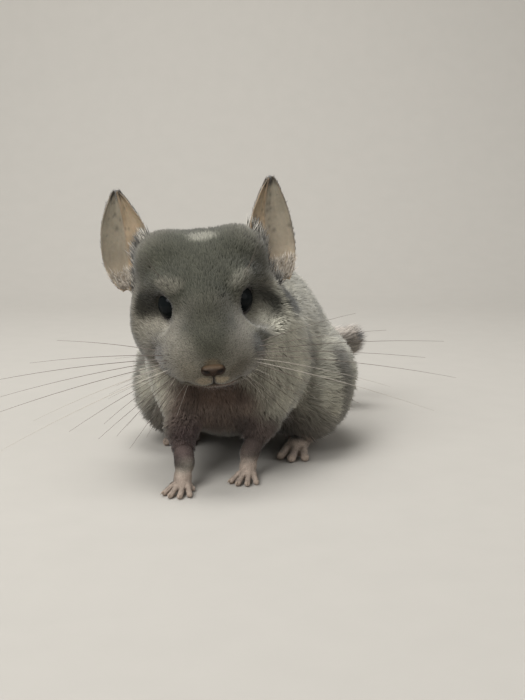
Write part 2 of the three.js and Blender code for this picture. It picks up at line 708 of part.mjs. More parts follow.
const tailCurve = new THREE.CatmullRomCurve3(TAIL.map(onBody));
const coreRadius = (share) =>
  mix(TAIL_CORE.root, TAIL_CORE.tip, share) * (1 - 0.6 * smoothstep(share, 0.85, 1));

// Chance between -1 and 1, the same each time for the same number
const chance = (n) => 2 * ((Math.abs(Math.sin(n * 12.9898 + LOCK.seed) * 43758.5453)) % 1) - 1;

function lock(share, turn, n) {
  const full = smoothstep(share, 0, 0.6);
  const ahead = tailCurve.getTangent(share);
  const side = new THREE.Vector3().crossVectors(ahead, new THREE.Vector3(0, 0, 1)).normalize();
  const over = new THREE.Vector3().crossVectors(side, ahead);
  const angle = (turn + LOCK.stray * chance(n)) * RAD;
  const out = side.multiplyScalar(Math.cos(angle)).addScaledVector(over, Math.sin(angle));
  const lean = mix(LOCK.lean.root, LOCK.lean.tip, full) * (1 + 0.2 * chance(n + 0.5)) * RAD;
  const length = mix(LOCK.length.root, LOCK.length.tip, full) * (1 + 0.12 * chance(n + 0.25));
  const way = ahead.multiplyScalar(Math.cos(lean)).addScaledVector(out, Math.sin(lean));
  const start = tailCurve.getPoint(share).addScaledVector(out, coreRadius(share) * 0.45);
  const points = [0, 1, 2, 3].map((step) => {
    const t = step / 3;
    const p = start.clone().addScaledVector(way, t * length);
    return p.addScaledVector(out, -LOCK.curl * length * t * t);
  });
  const width = mix(LOCK.width.root, LOCK.width.tip, full);
  const widthAt = (t) => width * (t > 0.99 ? LOCK.point : 1 - 0.62 * t);
  return loft(points, widthAt, 4, { flatten: LOCK.flat, up: out });
}

function tail() {
  const core = loft(tailCurve.getPoints(14), coreRadius, 8);
  const pieces = [core];
  for (let ring = 0; ring < LOCK.rings; ring++) {
    const share = mix(LOCK.first, LOCK.last, ring / (LOCK.rings - 1));
    for (let n = 0; n < LOCK.around; n++) {
      const turn = ((n + (ring % 2) / 2) * 360) / LOCK.around;
      pieces.push(lock(share, turn, ring * LOCK.around + n));
    }
  }
  return joinedSolids(pieces);
}

// Everything beyond a plane across the tail at a share of its length
function beyondTail(share, gap) {
  const ahead = tailCurve.getTangent(share);
  const sideways = new THREE.Vector3().crossVectors(ahead, new THREE.Vector3(0, 0, 1)).normalize();
  const third = new THREE.Vector3().crossVectors(ahead, sideways);
  const frame = new THREE.Matrix4().makeBasis(sideways, third, ahead);
  frame.setPosition(tailCurve.getPoint(share));
  return block(frame, [-40, -40, gap], [40, 40, 80]);
}

// The whole coat, meshed finely where a part is small, and parted

const thighCutter = (side, grow) => {
  const [x, y, z] = THIGH_CUT.at;
  return ellipsoid(bodyFrame, [SIDES[side] * x, y, z], THIGH_CUT.radii, grow);
};
const shoulderCutter = (side, grow) => {
  const { elbow, wrist } = FORELEGS[side];
  const at = [elbow[0] + SIDES[side] * 1, mix(elbow[1], wrist[1], 0.35), SHOULDER_CUT.z];
  return ellipsoid(bodyFrame, at, SHOULDER_CUT.radii, grow);
};
const FAR = 90;
const aboveThroat = (backEnd, lift) =>
  block(headFrame, [-FAR, -FAR, THROAT_Z + lift], [FAR, FAR, FAR]).intersect(
    block(bodyFrame, [-FAR, -FAR, -FAR], [FAR, backEnd, 2 * FAR]),
  );

const fromWorld = (low, high, cell, level = 0) =>
  meshOfField((x, y, z) => coat(x, y, z) - level, low, high, cell);

function headMesh(level) {
  return fromWorld(...around(vector(HEAD_AT), [42, 62, 50]), HEAD_CELL, level);
}

function build() {
  const nodes = {};
  const grown = headMesh(GAP);
  const whole = fromWorld(WHOLE_BOX.low, WHOLE_BOX.high, TORSO_CELL).subtract(floor);

  const fine = headMesh(0);
  nodes.whisker_pad_left = whiskerPad("left", fine, grown);
  nodes.whisker_pad_right = whiskerPad("right", fine, grown);
  nodes.nose = nose();
  let head = fine.intersect(aboveThroat(HEAD_BACK, 0));
  for (const side of ["left", "right"]) {
    head = head.subtract(padCutter(side, GAP));
    head = head.subtract(eyeSocket(side));
    head = head.add(lid(side, true)).add(lid(side, false)).subtract(eyeSocket(side));
    nodes[`eye_${side}`] = eyeball(side);
  }
  head = head.subtract(ellipsoid(headFrame, NOSE_AT, NOSE_RADII, GAP, 14));
  head = head.subtract(mouthLine()).subtract(philtrum());
  nodes.head = largest(head);

  const neckFine = fromWorld(...around(onBody([0, 30, 72]), [44, 34, 50]), NECK_CELL);
  nodes.neck = largest(
    neckFine.intersect(aboveThroat(NECK_BACK, 0)).subtract(aboveThroat(HEAD_BACK + GAP, -60)),
  );

  let torso = whole.subtract(aboveThroat(NECK_BACK + GAP, -GAP));
  for (const side of ["left", "right"]) {
    torso = torso.subtract(thighCutter(side, GAP)).subtract(shoulderCutter(side, GAP));
    const leg = FORELEGS[side];
    const legMesh = fromWorld(...around(onBody(leg.elbow), [20, 28, 26]), FORELEG_CELL);
    nodes[`foreleg_${side}`] = largest(
      legMesh.intersect(shoulderCutter(side, 0)).subtract(beyondWrist(side, 0)),
    );
    const thighMesh = fromWorld(...around(onBody([SIDES[side] * 36, 58, 26]), [34, 40, 34]), THIGH_CELL);
    nodes[`thigh_${side}`] = largest(thighMesh.intersect(thighCutter(side, 0)).subtract(floor));

    nodes[`forepaw_${side}`] = largest(forepaw(side).intersect(beyondWrist(side, GAP)).subtract(floor));
    const footBox = around(onBody([SIDES[side] * 29, HINDFOOT.ballAt[side] + 13, 8]), [24, 40, 18]);
    const footTrim = fromWorld(...footBox, SOLE_CELL, 1.75 * GAP);
    nodes[`hindfoot_${side}`] = largest(hindfoot(side).subtract(footTrim).subtract(floor));
    nodes[`ear_${side}`] = largest(ear(side).subtract(grown));
  }
  nodes.torso = largest(torso);

  const rumpTrim = fromWorld(...around(onBody([0, 112, 32]), [30, 26, 30]), TORSO_CELL, 2 * GAP);
  nodes.tail_base = largest(tail().subtract(rumpTrim).subtract(beyondTail(TAIL_SPLIT, 0)));
  nodes.tail_tip = largest(tail().intersect(beyondTail(TAIL_SPLIT, GAP)));
  return nodes;
}

const COLOURS = {
  coat: { color: 0x8d918c, roughness: 0.95, metalness: 0 },
  ear: { color: 0xb7a694, roughness: 0.8, metalness: 0 },
  eye: { color: 0x0a0c10, roughness: 0.08, metalness: 0 },
  nose: { color: 0x8a6a58, roughness: 0.6, metalness: 0 },
  foot: { color: 0xc9c3b4, roughness: 0.85, metalness: 0 },
};
const FINISH_OF = [
  ["ear", "ear"],
  ["eye", "eye"],
  ["nose", "nose"],
  ["forepaw", "foot"],
  ["hindfoot", "foot"],
];

const chinchilla = new THREE.Group();
for (const [name, manifold] of Object.entries(build())) {
  const found = FINISH_OF.find(([start]) => name.startsWith(start));
  const material = new THREE.MeshStandardMaterial(COLOURS[found ? found[1] : "coat"]);
  const mesh = new THREE.Mesh(geometryOf(manifold), material);
  mesh.name = name;
  chinchilla.add(mesh);
}

// The origin is the middle of the box that holds the animal, at the floor
const box = new THREE.Box3().setFromObject(chinchilla);
const middle = box.getCenter(new THREE.Vector3());
chinchilla.position.set(-middle.x, -middle.y, -box.min.z);

export default chinchilla;
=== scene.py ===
"""Looks of a life-size museum chinchilla: skin, coat, ears, eyes, nose, whiskers, claws, tail and stage.

All shapes are worked out in millimetres in the modeller's own axes (x to the animal's left, y to its rear,
z up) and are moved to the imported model's place, in metres, when a mesh is made.
"""
import math

import bpy
import numpy as np
from bpy.props import FloatProperty, FloatVectorProperty, IntProperty, PointerProperty
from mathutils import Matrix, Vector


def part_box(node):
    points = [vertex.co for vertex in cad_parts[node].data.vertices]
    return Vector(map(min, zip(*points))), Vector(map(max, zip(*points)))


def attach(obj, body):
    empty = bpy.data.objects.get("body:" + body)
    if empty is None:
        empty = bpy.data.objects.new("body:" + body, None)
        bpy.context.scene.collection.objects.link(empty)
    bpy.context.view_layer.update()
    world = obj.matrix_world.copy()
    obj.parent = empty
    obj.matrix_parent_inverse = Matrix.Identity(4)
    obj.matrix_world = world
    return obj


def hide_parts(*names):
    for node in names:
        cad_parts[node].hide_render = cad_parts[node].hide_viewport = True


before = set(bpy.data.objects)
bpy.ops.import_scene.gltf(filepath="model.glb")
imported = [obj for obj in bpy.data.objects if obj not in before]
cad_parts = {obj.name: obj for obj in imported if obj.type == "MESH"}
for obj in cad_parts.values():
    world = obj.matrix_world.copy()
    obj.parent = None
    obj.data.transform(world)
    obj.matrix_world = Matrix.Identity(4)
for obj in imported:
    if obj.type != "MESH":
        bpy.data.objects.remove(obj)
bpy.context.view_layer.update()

bl_info = {
    "name": "Chinchilla",
    "version": (1, 0, 0),
    "blender": (4, 5, 0),
    "location": "3D View > Sidebar > Chinchilla",
    "description": "Builds a life-size chinchilla with its coat over the packed model",
    "category": "Object",
}

MM = 0.001
SIDES = {"left": 1.0, "right": -1.0}


# Frames of the body and the head

def turned(yaw, pitch, roll):
    y, p, r = (math.radians(a) for a in (yaw, pitch, -roll))
    about_z = np.array([[math.cos(y), -math.sin(y), 0], [math.sin(y), math.cos(y), 0], [0, 0, 1]])
    about_y = np.array([[math.cos(r), 0, math.sin(r)], [0, 1, 0], [-math.sin(r), 0, math.cos(r)]])
    about_x = np.array([[1, 0, 0], [0, math.cos(p), -math.sin(p)], [0, math.sin(p), math.cos(p)]])
    return about_z @ about_y @ about_x


BODY_AT = np.array((-20.5, 0.0, 0.0))
BODY = turned(-11, 0, 0)
HEAD_AT = np.array((-23.0, 8.0, 71.7))
HEAD = turned(5, 20, 4.5)


def on_body(p):
    return BODY_AT + np.asarray(p, float) @ BODY.T


def on_head(p):
    return HEAD_AT + np.asarray(p, float) @ HEAD.T


def in_body(p):
    return (p - BODY_AT) @ BODY


def in_head(p):
    return (p - HEAD_AT) @ HEAD


def sided(p, side):
    return np.asarray(p, float) * np.array((SIDES[side], 1.0, 1.0))


def folded(p):
    """The points with those of the right side brought over to the left."""
    q = np.array(p, float)
    q[..., 0] = np.abs(q[..., 0])
    return q


def unit(v, least=1e-9):
    return v / np.maximum(np.linalg.norm(v, axis=-1), least)[..., None]


def blend(one, other, share):
    """One colour turned into the other by a share at each point."""
    share = share[..., None]
    return one * (1 - share) + other * share


def seed_of(first, side):
    return first + (0 if side == "left" else 1)


EYE = np.array((12.8, 0.0, 0.8))
EYE_RADIUS = 6.2
EYE_LOOKS = np.array((0.82, -0.57, 0.04))
ORBIT_OUT, ORBIT_RADIUS, ORBIT_BLEND = 12.2, 9.0, 3.0
NOSE_AT = np.array((0.0, -33.2, -11.4))

LOW, HIGH = (np.array(corner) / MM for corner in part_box("eye_left"))
SHIFT = (LOW + HIGH) / 2 - on_head(EYE)
SHIFT[2] = 0.0

# The coat's masses: place, radii and how softly each joins what comes before it
TRUNK = [
    ((0, 70, 34), (50, 46, 30), 0),
    ((0, 72, 48), (36, 42, 38), 12),
    ((0, 42, 49), (37, 42, 38), 12),
    ((0, 26, 44), (33, 25, 30), 12),
    ((0, 25, 61), (27, 20, 24), 12),
    ((31, 60, 28), (20, 28, 25), 8),
    ((-31, 60, 28), (20, 28, 25), 8),
]
FORELEGS = {
    "left": ((16, 24, 34), (17, 19, 22), (13.6, 9.5, 9.5)),
    "right": ((-14, 18, 32), (-13.5, 3, 21), (-8.6, -11, 10)),
}
SHOULDER_RADIUS, ELBOW_RADIUS, WRIST_RADIUS = 12, 7, 3.7
ELBOW_BLEND, SHOULDER_BLEND, NECK_BLEND = 4, 9, 8
SKULL = [
    ((0, 16, 1), (27.8, 25, 23), 0, False),
    ((15.5, 17, 14), (12, 13, 11), 8, True),
    ((17.4, 12, -10), (13.5, 17, 13.5), 10, True),
    ((0, -3, -1), (13.5, 17, 13.5), 9, False),
    ((0, -16, -7), (11, 15.5, 10), 8, False),
    ((0, -24, -12.2), (9.8, 9, 8.6), 7, False),
    ((18, -1, -13), (10.5, 13.5, 11), 12, True),
    ((9.4, -18.8, -13), (9.9, 10.6, 8.6), 12, True),
    ((3.4, -28.6, -16.4), (4.2, 3.7, 4.2), 2, True),
    ((0, -12.5, -20.5), (10.5, 15.5, 6.3), 4, False),
    ((12.5, 2, 9), (8.5, 9, 6), 6, True),
]
MIRROR = np.array((-1.0, 1.0, 1.0))


# Fields: below zero inside, close to the distance in millimetres near the surface

def ellipsoid(p, at, radii):
    radii = np.array(radii, float)
    q = (p - np.array(at, float)) / radii
    near = np.sqrt((q * q).sum(-1))
    slope = np.sqrt(((q / radii) ** 2).sum(-1))
    return near * (near - 1) / np.maximum(slope, 1e-9)


def limb(p, a, b, radius_a, radius_b):
    a, b = np.array(a, float), np.array(b, float)
    d = b - a
    t = np.clip(((p - a) @ d) / (d @ d), 0, 1)
    return np.linalg.norm(p - a - t[..., None] * d, axis=-1) - (radius_a + (radius_b - radius_a) * t)


def joined(a, b, soft):
    if soft <= 0:
        return np.minimum(a, b)
    h = np.clip(0.5 + 0.5 * (b - a) / soft, 0, 1)
    return b * (1 - h) + a * h - soft * h * (1 - h)


def smoothstep(x, low, high):
    t = np.clip((x - low) / (high - low), 0, 1)
    return t * t * (3 - 2 * t)


def legs_field(pb):
    field = None
    for shoulder, elbow, wrist in FORELEGS.values():
        upper = limb(pb, shoulder, elbow, SHOULDER_RADIUS, ELBOW_RADIUS)
        lower = limb(pb, elbow, wrist, ELBOW_RADIUS, WRIST_RADIUS)
        leg = joined(upper, lower, ELBOW_BLEND)
        field = leg if field is None else np.minimum(field, leg)
    return field


def trunk_field(pb):
    field = None
    for at, radii, soft in TRUNK:
        mass = ellipsoid(pb, at, radii)
        field = mass if field is None else joined(field, mass, soft)
    return field


def skull_field(ph):
    field = None
    mirrored = ph * MIRROR
    for at, radii, soft, paired in SKULL:
        mass = ellipsoid(ph, at, radii)
        if paired:
            mass = np.minimum(mass, ellipsoid(mirrored, at, radii))
        field = mass if field is None else joined(field, mass, soft)
    return field


JOWL = ((13, -17, -14), (11, 13, 9))  # place and radii of the longer hair on the whisker pads


def coat_depth(ph, pb, headness, legness):
    """How deep the hair is over the skin, in millimetres."""
    from_nose = np.linalg.norm(ph - NOSE_AT, axis=-1)
    face = 0.5 + 2.0 * smoothstep(from_nose, 4, 46) + 0.9 * smoothstep(ph[..., 2], 10, 24)
    beside = folded(ph)
    from_eye = np.linalg.norm(beside - EYE, axis=-1)
    face = face * (0.3 + 0.7 * smoothstep(from_eye, 6.6, 13)) + patch_weight(beside, *JOWL)
    leg = 0.7 + 2.6 * smoothstep(pb[..., 2], 10, 27)
    body = joined(6.5 + 0 * leg, 1.2 + 0.35 * pb[..., 2], 2) * (0.5 + 0.5 * smoothstep(pb[..., 1], 10, 36))
    depth = face * headness + body * (1 - headness)
    return depth * (1 - legness) + leg * legness


def coat_parts(p):
    """The coat's outline, its depth, and how far a point belongs to the head and to a foreleg."""
    pb, ph = in_body(p), in_head(p)
    trunk, skull, legs = trunk_field(pb), skull_field(ph), legs_field(pb)
    headness = smoothstep(np.minimum(trunk, legs) - skull, -7, 6) * smoothstep(p[..., 2], 16, 30)
    legness = smoothstep(trunk - legs, 0, 9) * (1 - headness)
    orbit = np.linalg.norm(folded(ph) - EYE - EYE_LOOKS * ORBIT_OUT, axis=-1) - ORBIT_RADIUS
    coat = joined(joined(trunk, legs, SHOULDER_BLEND), skull, NECK_BLEND)
    coat = -joined(-coat, orbit, ORBIT_BLEND)
    return coat, coat_depth(ph, pb, headness, legness), headness, legness


# Feet: the same palms, soles and toes as the solids have

FOREPAW = {"wrist": 3.2, "palm": 3.0, "reach": 7.5, "toe": 1.2, "spread": 2.7}
FOREPAW_TOES = ((-21, 7.4), (-7, 9.0), (7, 8.8), (21, 6.8))
HINDFOOT_BACK = {"left": 43.0, "right": 57.0}
HINDFOOT_TOES = ((-16, 8.0), (0, 10.0), (16, 8.6))
HINDFOOT_OUT, HINDFOOT_STEP = 27.6, 3.2
FEET_BELOW, SOLE_ABOVE = 16, 0.02


def toe_path(knuckle, angle, length, radius):
    a = math.radians(angle)
    ahead = np.array((math.sin(a), -math.cos(a), 0.0))
    knuckle = np.array(knuckle, float)

    def at(reach, height):
        p = knuckle + ahead * reach
        p[2] = height
        return p

    return [
        (at(-1.5, knuckle[2]), radius * 1.05),
        (at(length * 0.22, max(knuckle[2] * 0.95, radius)), radius * 0.86),
        (at(length * 0.6, max(knuckle[2] * 0.6, radius * 0.9)), radius * 0.84),
        (at(length * 0.94, radius * 0.95), radius * 0.98),
    ], ahead


def toes_of(side):
    """Every toe of one side: its path with radii, the way it points, and its claw's length."""
    s = SIDES[side]
    wrist = FORELEGS[side][2]
    knuckle = np.array((wrist[0] + 0.4, wrist[1] - FOREPAW["reach"], 2.6))
    found = []
    for n, (angle, _) in enumerate(FOREPAW_TOES):
        across = FOREPAW["spread"] * (2 * n / 3 - 1)
        length = FOREPAW_TOES[n if s > 0 else 3 - n][1]
        root = (knuckle[0] + across, knuckle[1] - 0.6 + abs(across) * 0.35, 2.9)
        found.append((*toe_path(root, angle, length, FOREPAW["toe"]), 1.9))
    found.append((*toe_path((knuckle[0] - s * 2.4, knuckle[1] + 3, 2.4), -s * 55, 2.4, 1.2), 0.8))
    back = HINDFOOT_BACK[side]
    for n, (angle, length) in enumerate(HINDFOOT_TOES):
        across = HINDFOOT_OUT - HINDFOOT_STEP + HINDFOOT_STEP * n
        root = (s * across, back - 2.4 + abs(n - 1) * 0.9, 3.4)
        found.append((*toe_path(root, angle * s, length, 1.85), 2.1))
    found.append((*toe_path((s * 23.4, back + 4, 3.2), -s * 38, 3.4, 1.4), 1.2))
    return found


def feet_field(pb):
    field = np.full(pb.shape[:-1], 60.0)
    for side, s in SIDES.items():
        _, elbow, wrist = FORELEGS[side]
        wrist = np.array(wrist, float)
        above = wrist + (np.array(elbow) - wrist) * 0.2
        knuckle = np.array((wrist[0] + 0.4, wrist[1] - FOREPAW["reach"], 2.7))
        palm = joined(
            limb(pb, above, wrist, FOREPAW["wrist"], FOREPAW["wrist"]),
            limb(pb, wrist, (wrist[0], wrist[1] - 3.2, 4.4), FOREPAW["wrist"], FOREPAW["palm"]),
            2,
        )
        palm = joined(palm, limb(pb, (wrist[0], wrist[1] - 3.2, 4.4), knuckle, FOREPAW["palm"], 2.5), 2)
        back = HINDFOOT_BACK[side]
        sole = limb(pb, (s * 28, 33 + back, 4.3), (s * HINDFOOT_OUT, back, 3.6), 5.0, 4.3)
        toes = None
        for path, _, _ in toes_of(side):
            toe = None
            for (a, ra), (b, rb) in zip(path[:-1], path[1:]):
                bone = limb(pb, a, b, ra, rb)
                toe = bone if toe is None else joined(toe, bone, 0.5)
            toes = toe if toes is None else np.minimum(toes, toe)
        field = np.minimum(field, joined(np.minimum(palm, sole), toes, 0.9))
    return field


MOUTH_X = (0, 1.6, 3.4, 5.6, 8, 10)
MOUTH_Z = (-19.6, -20.3, -20.9, -20.9, -20.2, -18.9)
CLEFT_MIDDLE, CLEFT_HALF = -17.0, 2.6


def from_lips(ph):
    """How far a point is from the mouth's line or the cleft over it, seen along the head's length."""
    line = np.interp(np.abs(ph[..., 0]), MOUTH_X, MOUTH_Z)
    beyond = np.maximum(np.abs(ph[..., 0]) - MOUTH_X[-1], 0)
    mouth = np.hypot(ph[..., 2] - line, beyond)
    past_cleft = np.maximum(np.abs(ph[..., 2] - CLEFT_MIDDLE) - CLEFT_HALF, 0)
    cleft = np.hypot(ph[..., 0] * 1.6, past_cleft)
    behind = np.maximum(ph[..., 1] + 12, 0)
    return np.hypot(np.minimum(mouth, cleft), behind)


def skin_field(p):
    coat, depth, _, _ = coat_parts(p)
    field = coat + depth
    ph = in_head(p)
    field = field + 1.5 * np.exp(-((from_lips(ph) / 0.75) ** 2)) * (ph[..., 1] < -14)
    low = p[..., 2] < FEET_BELOW
    field[low] = joined(field[low], feet_field(in_body(p[low])), 2.2)
    return np.maximum(field, SOLE_ABOVE - p[..., 2])


# Surface nets: the mesh of a field on a grid whose lines may stand at uneven distances

def lines(*runs):
    found = [runs[0][0]]
    for start, end, step in runs:
        count = max(1, round((end - start) / step))
        found.extend(np.linspace(start, end, count + 1)[1:])
    return np.array(found)


NET_SLAB = 12  # grid layers worked out at once


def surface_net(field_of, xs, ys, zs):
    values = np.empty((len(xs), len(ys), len(zs)), np.float32)
    for start in range(0, len(zs), NET_SLAB):
        part = zs[start:start + NET_SLAB]
        grid = np.stack(np.meshgrid(xs, ys, part, indexing="ij"), -1)
        values[:, :, start:start + NET_SLAB] = field_of(grid)
    inside = values < 0
    shape = np.array(values.shape) - 1
    count = np.zeros(shape, np.uint8)
    corners = [(i, j, k) for i in (0, 1) for j in (0, 1) for k in (0, 1)]
    for i, j, k in corners:
        count += inside[i:shape[0] + i, j:shape[1] + j, k:shape[2] + k]
    cells = np.argwhere((count > 0) & (count < 8))
    number = np.full(shape, -1, np.int64)
    number[tuple(cells.T)] = np.arange(len(cells))
    total = np.zeros((len(cells), 3))
    crossings = np.zeros(len(cells))
    axes = (xs, ys, zs)
    for a in corners:
        for axis in range(3):
            if a[axis]:
                continue
            b = tuple(v + (n == axis) for n, v in enumerate(a))
            fa = values[tuple((cells + a).T)]
            fb = values[tuple((cells + b).T)]
            crossed = (fa < 0) != (fb < 0)
            t = np.where(crossed, fa / np.where(fa == fb, 1, fa - fb), 0)
            place = np.stack([axes[n][cells[:, n] + a[n]] for n in range(3)], -1)
            place[:, axis] += t * (axes[axis][cells[:, axis] + b[axis]] - place[:, axis])
            total += place * crossed[:, None]
            crossings += crossed
    points = total / crossings[:, None]
    faces = []
    for axis in range(3):
        one, two = [(1, 2), (2, 0), (0, 1)][axis]
        ahead = [slice(None)] * 3
        ahead[axis] = slice(1, None)
        behind = [slice(None)] * 3
        behind[axis] = slice(None, -1)
        edges = np.argwhere(inside[tuple(behind)] != inside[tuple(ahead)])
        edges = edges[(edges[:, one] > 0) & (edges[:, two] > 0)]
        edges = edges[(edges[:, one] < shape[one]) & (edges[:, two] < shape[two])]
        step_one, step_two = np.eye(3, dtype=int)[one], np.eye(3, dtype=int)[two]
        ring = [edges, edges - step_one, edges - step_one - step_two, edges - step_two]
        quads = np.stack([number[tuple(cell.T)] for cell in ring], -1)
        outwards = inside[tuple(edges.T)]
        quads[~outwards] = quads[~outwards][:, ::-1]
        faces.append(quads)
    return points, np.concatenate(faces)


def drawn_onto(field_of, points, times, free=None):
    """The points moved onto the field's surface, those that aren't free left where they are."""
    e, longest = 0.05, 0.6
    for _ in range(times):
        value = field_of(points)
        slope = np.stack([(field_of(points + e * axis) - value) / e for axis in np.eye(3)], -1)
        move = -value[:, None] * slope / np.maximum((slope * slope).sum(-1), 0.3)[:, None]
        move = np.clip(move, -longest, longest)
        if free is not None:
            move[~free] = 0
        points = points + move
    return points


# Meshes

def new_object(name, mesh):
    piece = bpy.data.objects.new(name, mesh)
    bpy.context.scene.collection.objects.link(piece)
    return piece


def shade_smooth(mesh):
    mesh.polygons.foreach_set("use_smooth", np.ones(len(mesh.polygons), bool))


def mesh_of(name, points, faces):
    """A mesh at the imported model's place from points in millimetres and rows of equal faces."""
    mesh = bpy.data.meshes.new(name)
    points = (np.asarray(points, float) + SHIFT) * MM
    mesh.vertices.add(len(points))
    mesh.vertices.foreach_set("co", points.astype(np.float32).ravel())
    groups = [np.asarray(g) for g in (faces if isinstance(faces, list) else [faces]) if len(g)]
    if groups:
        loops = np.concatenate([g.ravel() for g in groups])
        sizes = np.concatenate([np.full(len(g), g.shape[1]) for g in groups])
        mesh.loops.add(len(loops))
        mesh.loops.foreach_set("vertex_index", loops.astype(np.int32))
        mesh.polygons.add(len(sizes))
        starts = np.concatenate([[0], np.cumsum(sizes)[:-1]])
        mesh.polygons.foreach_set("loop_start", starts.astype(np.int32))
        shade_smooth(mesh)
    mesh.update(calc_edges=True)
    mesh.validate()
    return mesh


def keep_values(mesh, name, kind, values):
    field = {"FLOAT_VECTOR": "vector", "FLOAT_COLOR": "color", "FLOAT": "value"}[kind]
    layer = mesh.attributes.new(name, kind, "POINT")
    layer.data.foreach_set(field, np.asarray(values, np.float32).ravel())


def keep_colours(mesh, colours):
    opaque = np.ones((len(colours), 1))
    keep_values(mesh, "coat_colour", "FLOAT_COLOR", np.concatenate([colours, opaque], 1))


def read_vectors(data, field):
    found = np.empty(len(data) * 3, np.float32)
    data.foreach_get(field, found)
    return found.reshape(-1, 3)


def tube(path, radii, sides, closed=False):
    """A swept tube, closed at both ends or joined into a loop."""
    path = np.asarray(path, float)
    count = len(path)
    if closed:
        ahead = np.roll(path, -1, 0) - np.roll(path, 1, 0)
    else:
        ahead = np.gradient(path, axis=0)
    ahead /= np.linalg.norm(ahead, axis=1)[:, None]
    up = np.array((0.0, 0.0, 1.0)) if abs(ahead[:, 2]).max() < 0.95 else np.array((0.3, 1.0, 0.0))
    across = np.cross(ahead, up)
    across /= np.linalg.norm(across, axis=1)[:, None]
    over = np.cross(across, ahead)
    turns = np.linspace(0, 2 * math.pi, sides, endpoint=False)
    points = path[:, None] + np.asarray(radii)[:, None, None] * (
        np.cos(turns)[None, :, None] * across[:, None]
        + np.sin(turns)[None, :, None] * over[:, None]
    )
    index = np.arange(count * sides).reshape(count, sides)
    after = np.roll(index, -1, 0) if closed else index[1:]
    before = index if closed else index[:-1]
    quads = np.stack(
        [before, np.roll(before, -1, 1), np.roll(after, -1, 1), after], -1
    ).reshape(-1, 4)
    points = points.reshape(-1, 3)
    caps = []
    if not closed:
        points = np.concatenate([points, path[:1], path[-1:]])
        first, last = count * sides, count * sides + 1
        ring = index[0]
        caps.append(np.stack([np.full(sides, first), np.roll(ring, -1), ring], -1))
        ring = index[-1]
        caps.append(np.stack([np.full(sides, last), ring, np.roll(ring, -1)], -1))
    return points, [quads] + ([np.concatenate(caps)] if caps else [])


def outward(points, groups):
    """The same faces, turned the right way out by the sign of their volume."""
    volume = 0.0
    for g in groups:
        for n in range(1, g.shape[1] - 1):
            a, b, c = points[g[:, 0]], points[g[:, n]], points[g[:, n + 1]]
            volume += (a * np.cross(b, c)).sum()
    return groups if volume > 0 else [g[:, ::-1] for g in groups]


def merged(parts):
    """Several (points, face groups) as one."""
    points, by_size, start = [], {}, 0
    for part_points, groups in parts:
        for g in outward(part_points, groups):
            by_size.setdefault(g.shape[1], []).append(g + start)
        points.append(part_points)
        start += len(part_points)
    return np.concatenate(points), [np.concatenate(g) for g in by_size.values()]


def smooth_curve(stations, steps):
    """Points on a smooth curve through the stations, eased by the distances between them."""
    p = np.asarray(stations, float)
    p = np.concatenate([[2 * p[0] - p[1]], p, [2 * p[-1] - p[-2]]])
    found = []
    for n in range(steps + 1):
        place = n / steps * (len(stations) - 1)
        i = min(int(place), len(stations) - 2)
        w = place - i
        a, b, c, d = p[i:i + 4]
        dt = [max(math.sqrt(np.linalg.norm(q - r)), 1e-4) for q, r in ((b, a), (c, b), (d, c))]
        m1 = ((b - a) / dt[0] - (c - a) / (dt[0] + dt[1]) + (c - b) / dt[1]) * dt[1]
        m2 = ((c - b) / dt[1] - (d - b) / (dt[1] + dt[2]) + (d - c) / dt[2]) * dt[1]
        found.append(
            b + m1 * w + (-3 * b + 3 * c - 2 * m1 - m2) * w**2 + (2 * b - 2 * c + m1 + m2) * w**3
        )
    return np.array(found)


def noise(p, size, seed):
    """Soft noise between about -1 and 1 whose patches are about one size across."""
    waves, height = 7, 3.2
    rng = np.random.default_rng(seed)
    total = np.zeros(p.shape[:-1])
    for _ in range(waves):
        way = rng.normal(size=3)
        way *= math.pi / (size * np.linalg.norm(way)) * rng.uniform(0.7, 1.4)
        total += np.sin(p @ way + rng.uniform(0, 7) + 1.3 * np.sin(p @ way[[1, 2, 0]] * 0.7))
    return total / height


# Markings: the colours of the coat and the skin under it, as soft patches in the head's or body's frame; some
# patches also hold painted shade

def tone(red, green, blue):
    c = np.array((red, green, blue)) / 255.0
    return np.where(c <= 0.04045, c / 12.92, ((c + 0.055) / 1.055) ** 2.4)


HEAD_MARKS = [
    # name, place, radii, colour, strength
    ("temples and crown", (0, 8, 14), (34, 30, 20), (54, 54, 45), 1.0),
    ("bridge", (0, -17, -1), (13, 24, 13), (48, 47, 38), 1.0),
    ("brow patch right", (-16.5, -5.5, 12.2), (9, 7, 3.8), (92, 89, 79), 0.9),
    ("brow patch left", (17.6, -4.5, 12.0), (9, 7, 4.2), (98, 96, 86), 0.9),
    ("crown blaze", (0, 15, 25), (8.5, 5, 3), (124, 122, 111), 0.8),
    # The left side's pale under-eye patch, cheek spot and whisker pad are darker than the right's: partly
    # their own colour, partly painted shade on the face's left side.
    ("pale under eye right", (-20.5, -7.5, -4.4), (8.5, 8.5, 4.4), (146, 141, 128), 0.9),
    ("pale under eye left", (18.2, -12.4, -4.2), (8.5, 8.5, 4.2), (108, 105, 93), 0.9),
    ("cheek spot right", (-20.2, -14.7, -10.8), (7, 8, 4.6), (76, 72, 64), 0.85),
    ("cheek spot left", (20.2, -17.6, -9.6), (7, 8, 4.6), (60, 59, 51), 0.9),
    ("whisker pad right", (-9, -30, -13), (7.5, 8, 6), (100, 95, 83), 0.9),
    ("whisker pad left", (9.8, -29, -14.5), (7.5, 8, 6), (80, 75, 65), 0.9),
    ("above nose", (0, -33, -7.6), (4, 3.4, 2.2), (92, 80, 62), 0.6),
    ("lip right", (-3.2, -31.6, -17.2), (3.8, 4, 2.7), (136, 125, 106), 0.9),
    ("lip left", (3.2, -31.6, -17.2), (3.8, 4, 2.7), (136, 125, 106), 0.9),
    # chin: partly its own colour, partly painted shade where the chin lies in shade under the muzzle.
    ("chin", (0, -24, -23.6), (11, 9, 3.6), (98, 84, 76), 0.85),
]
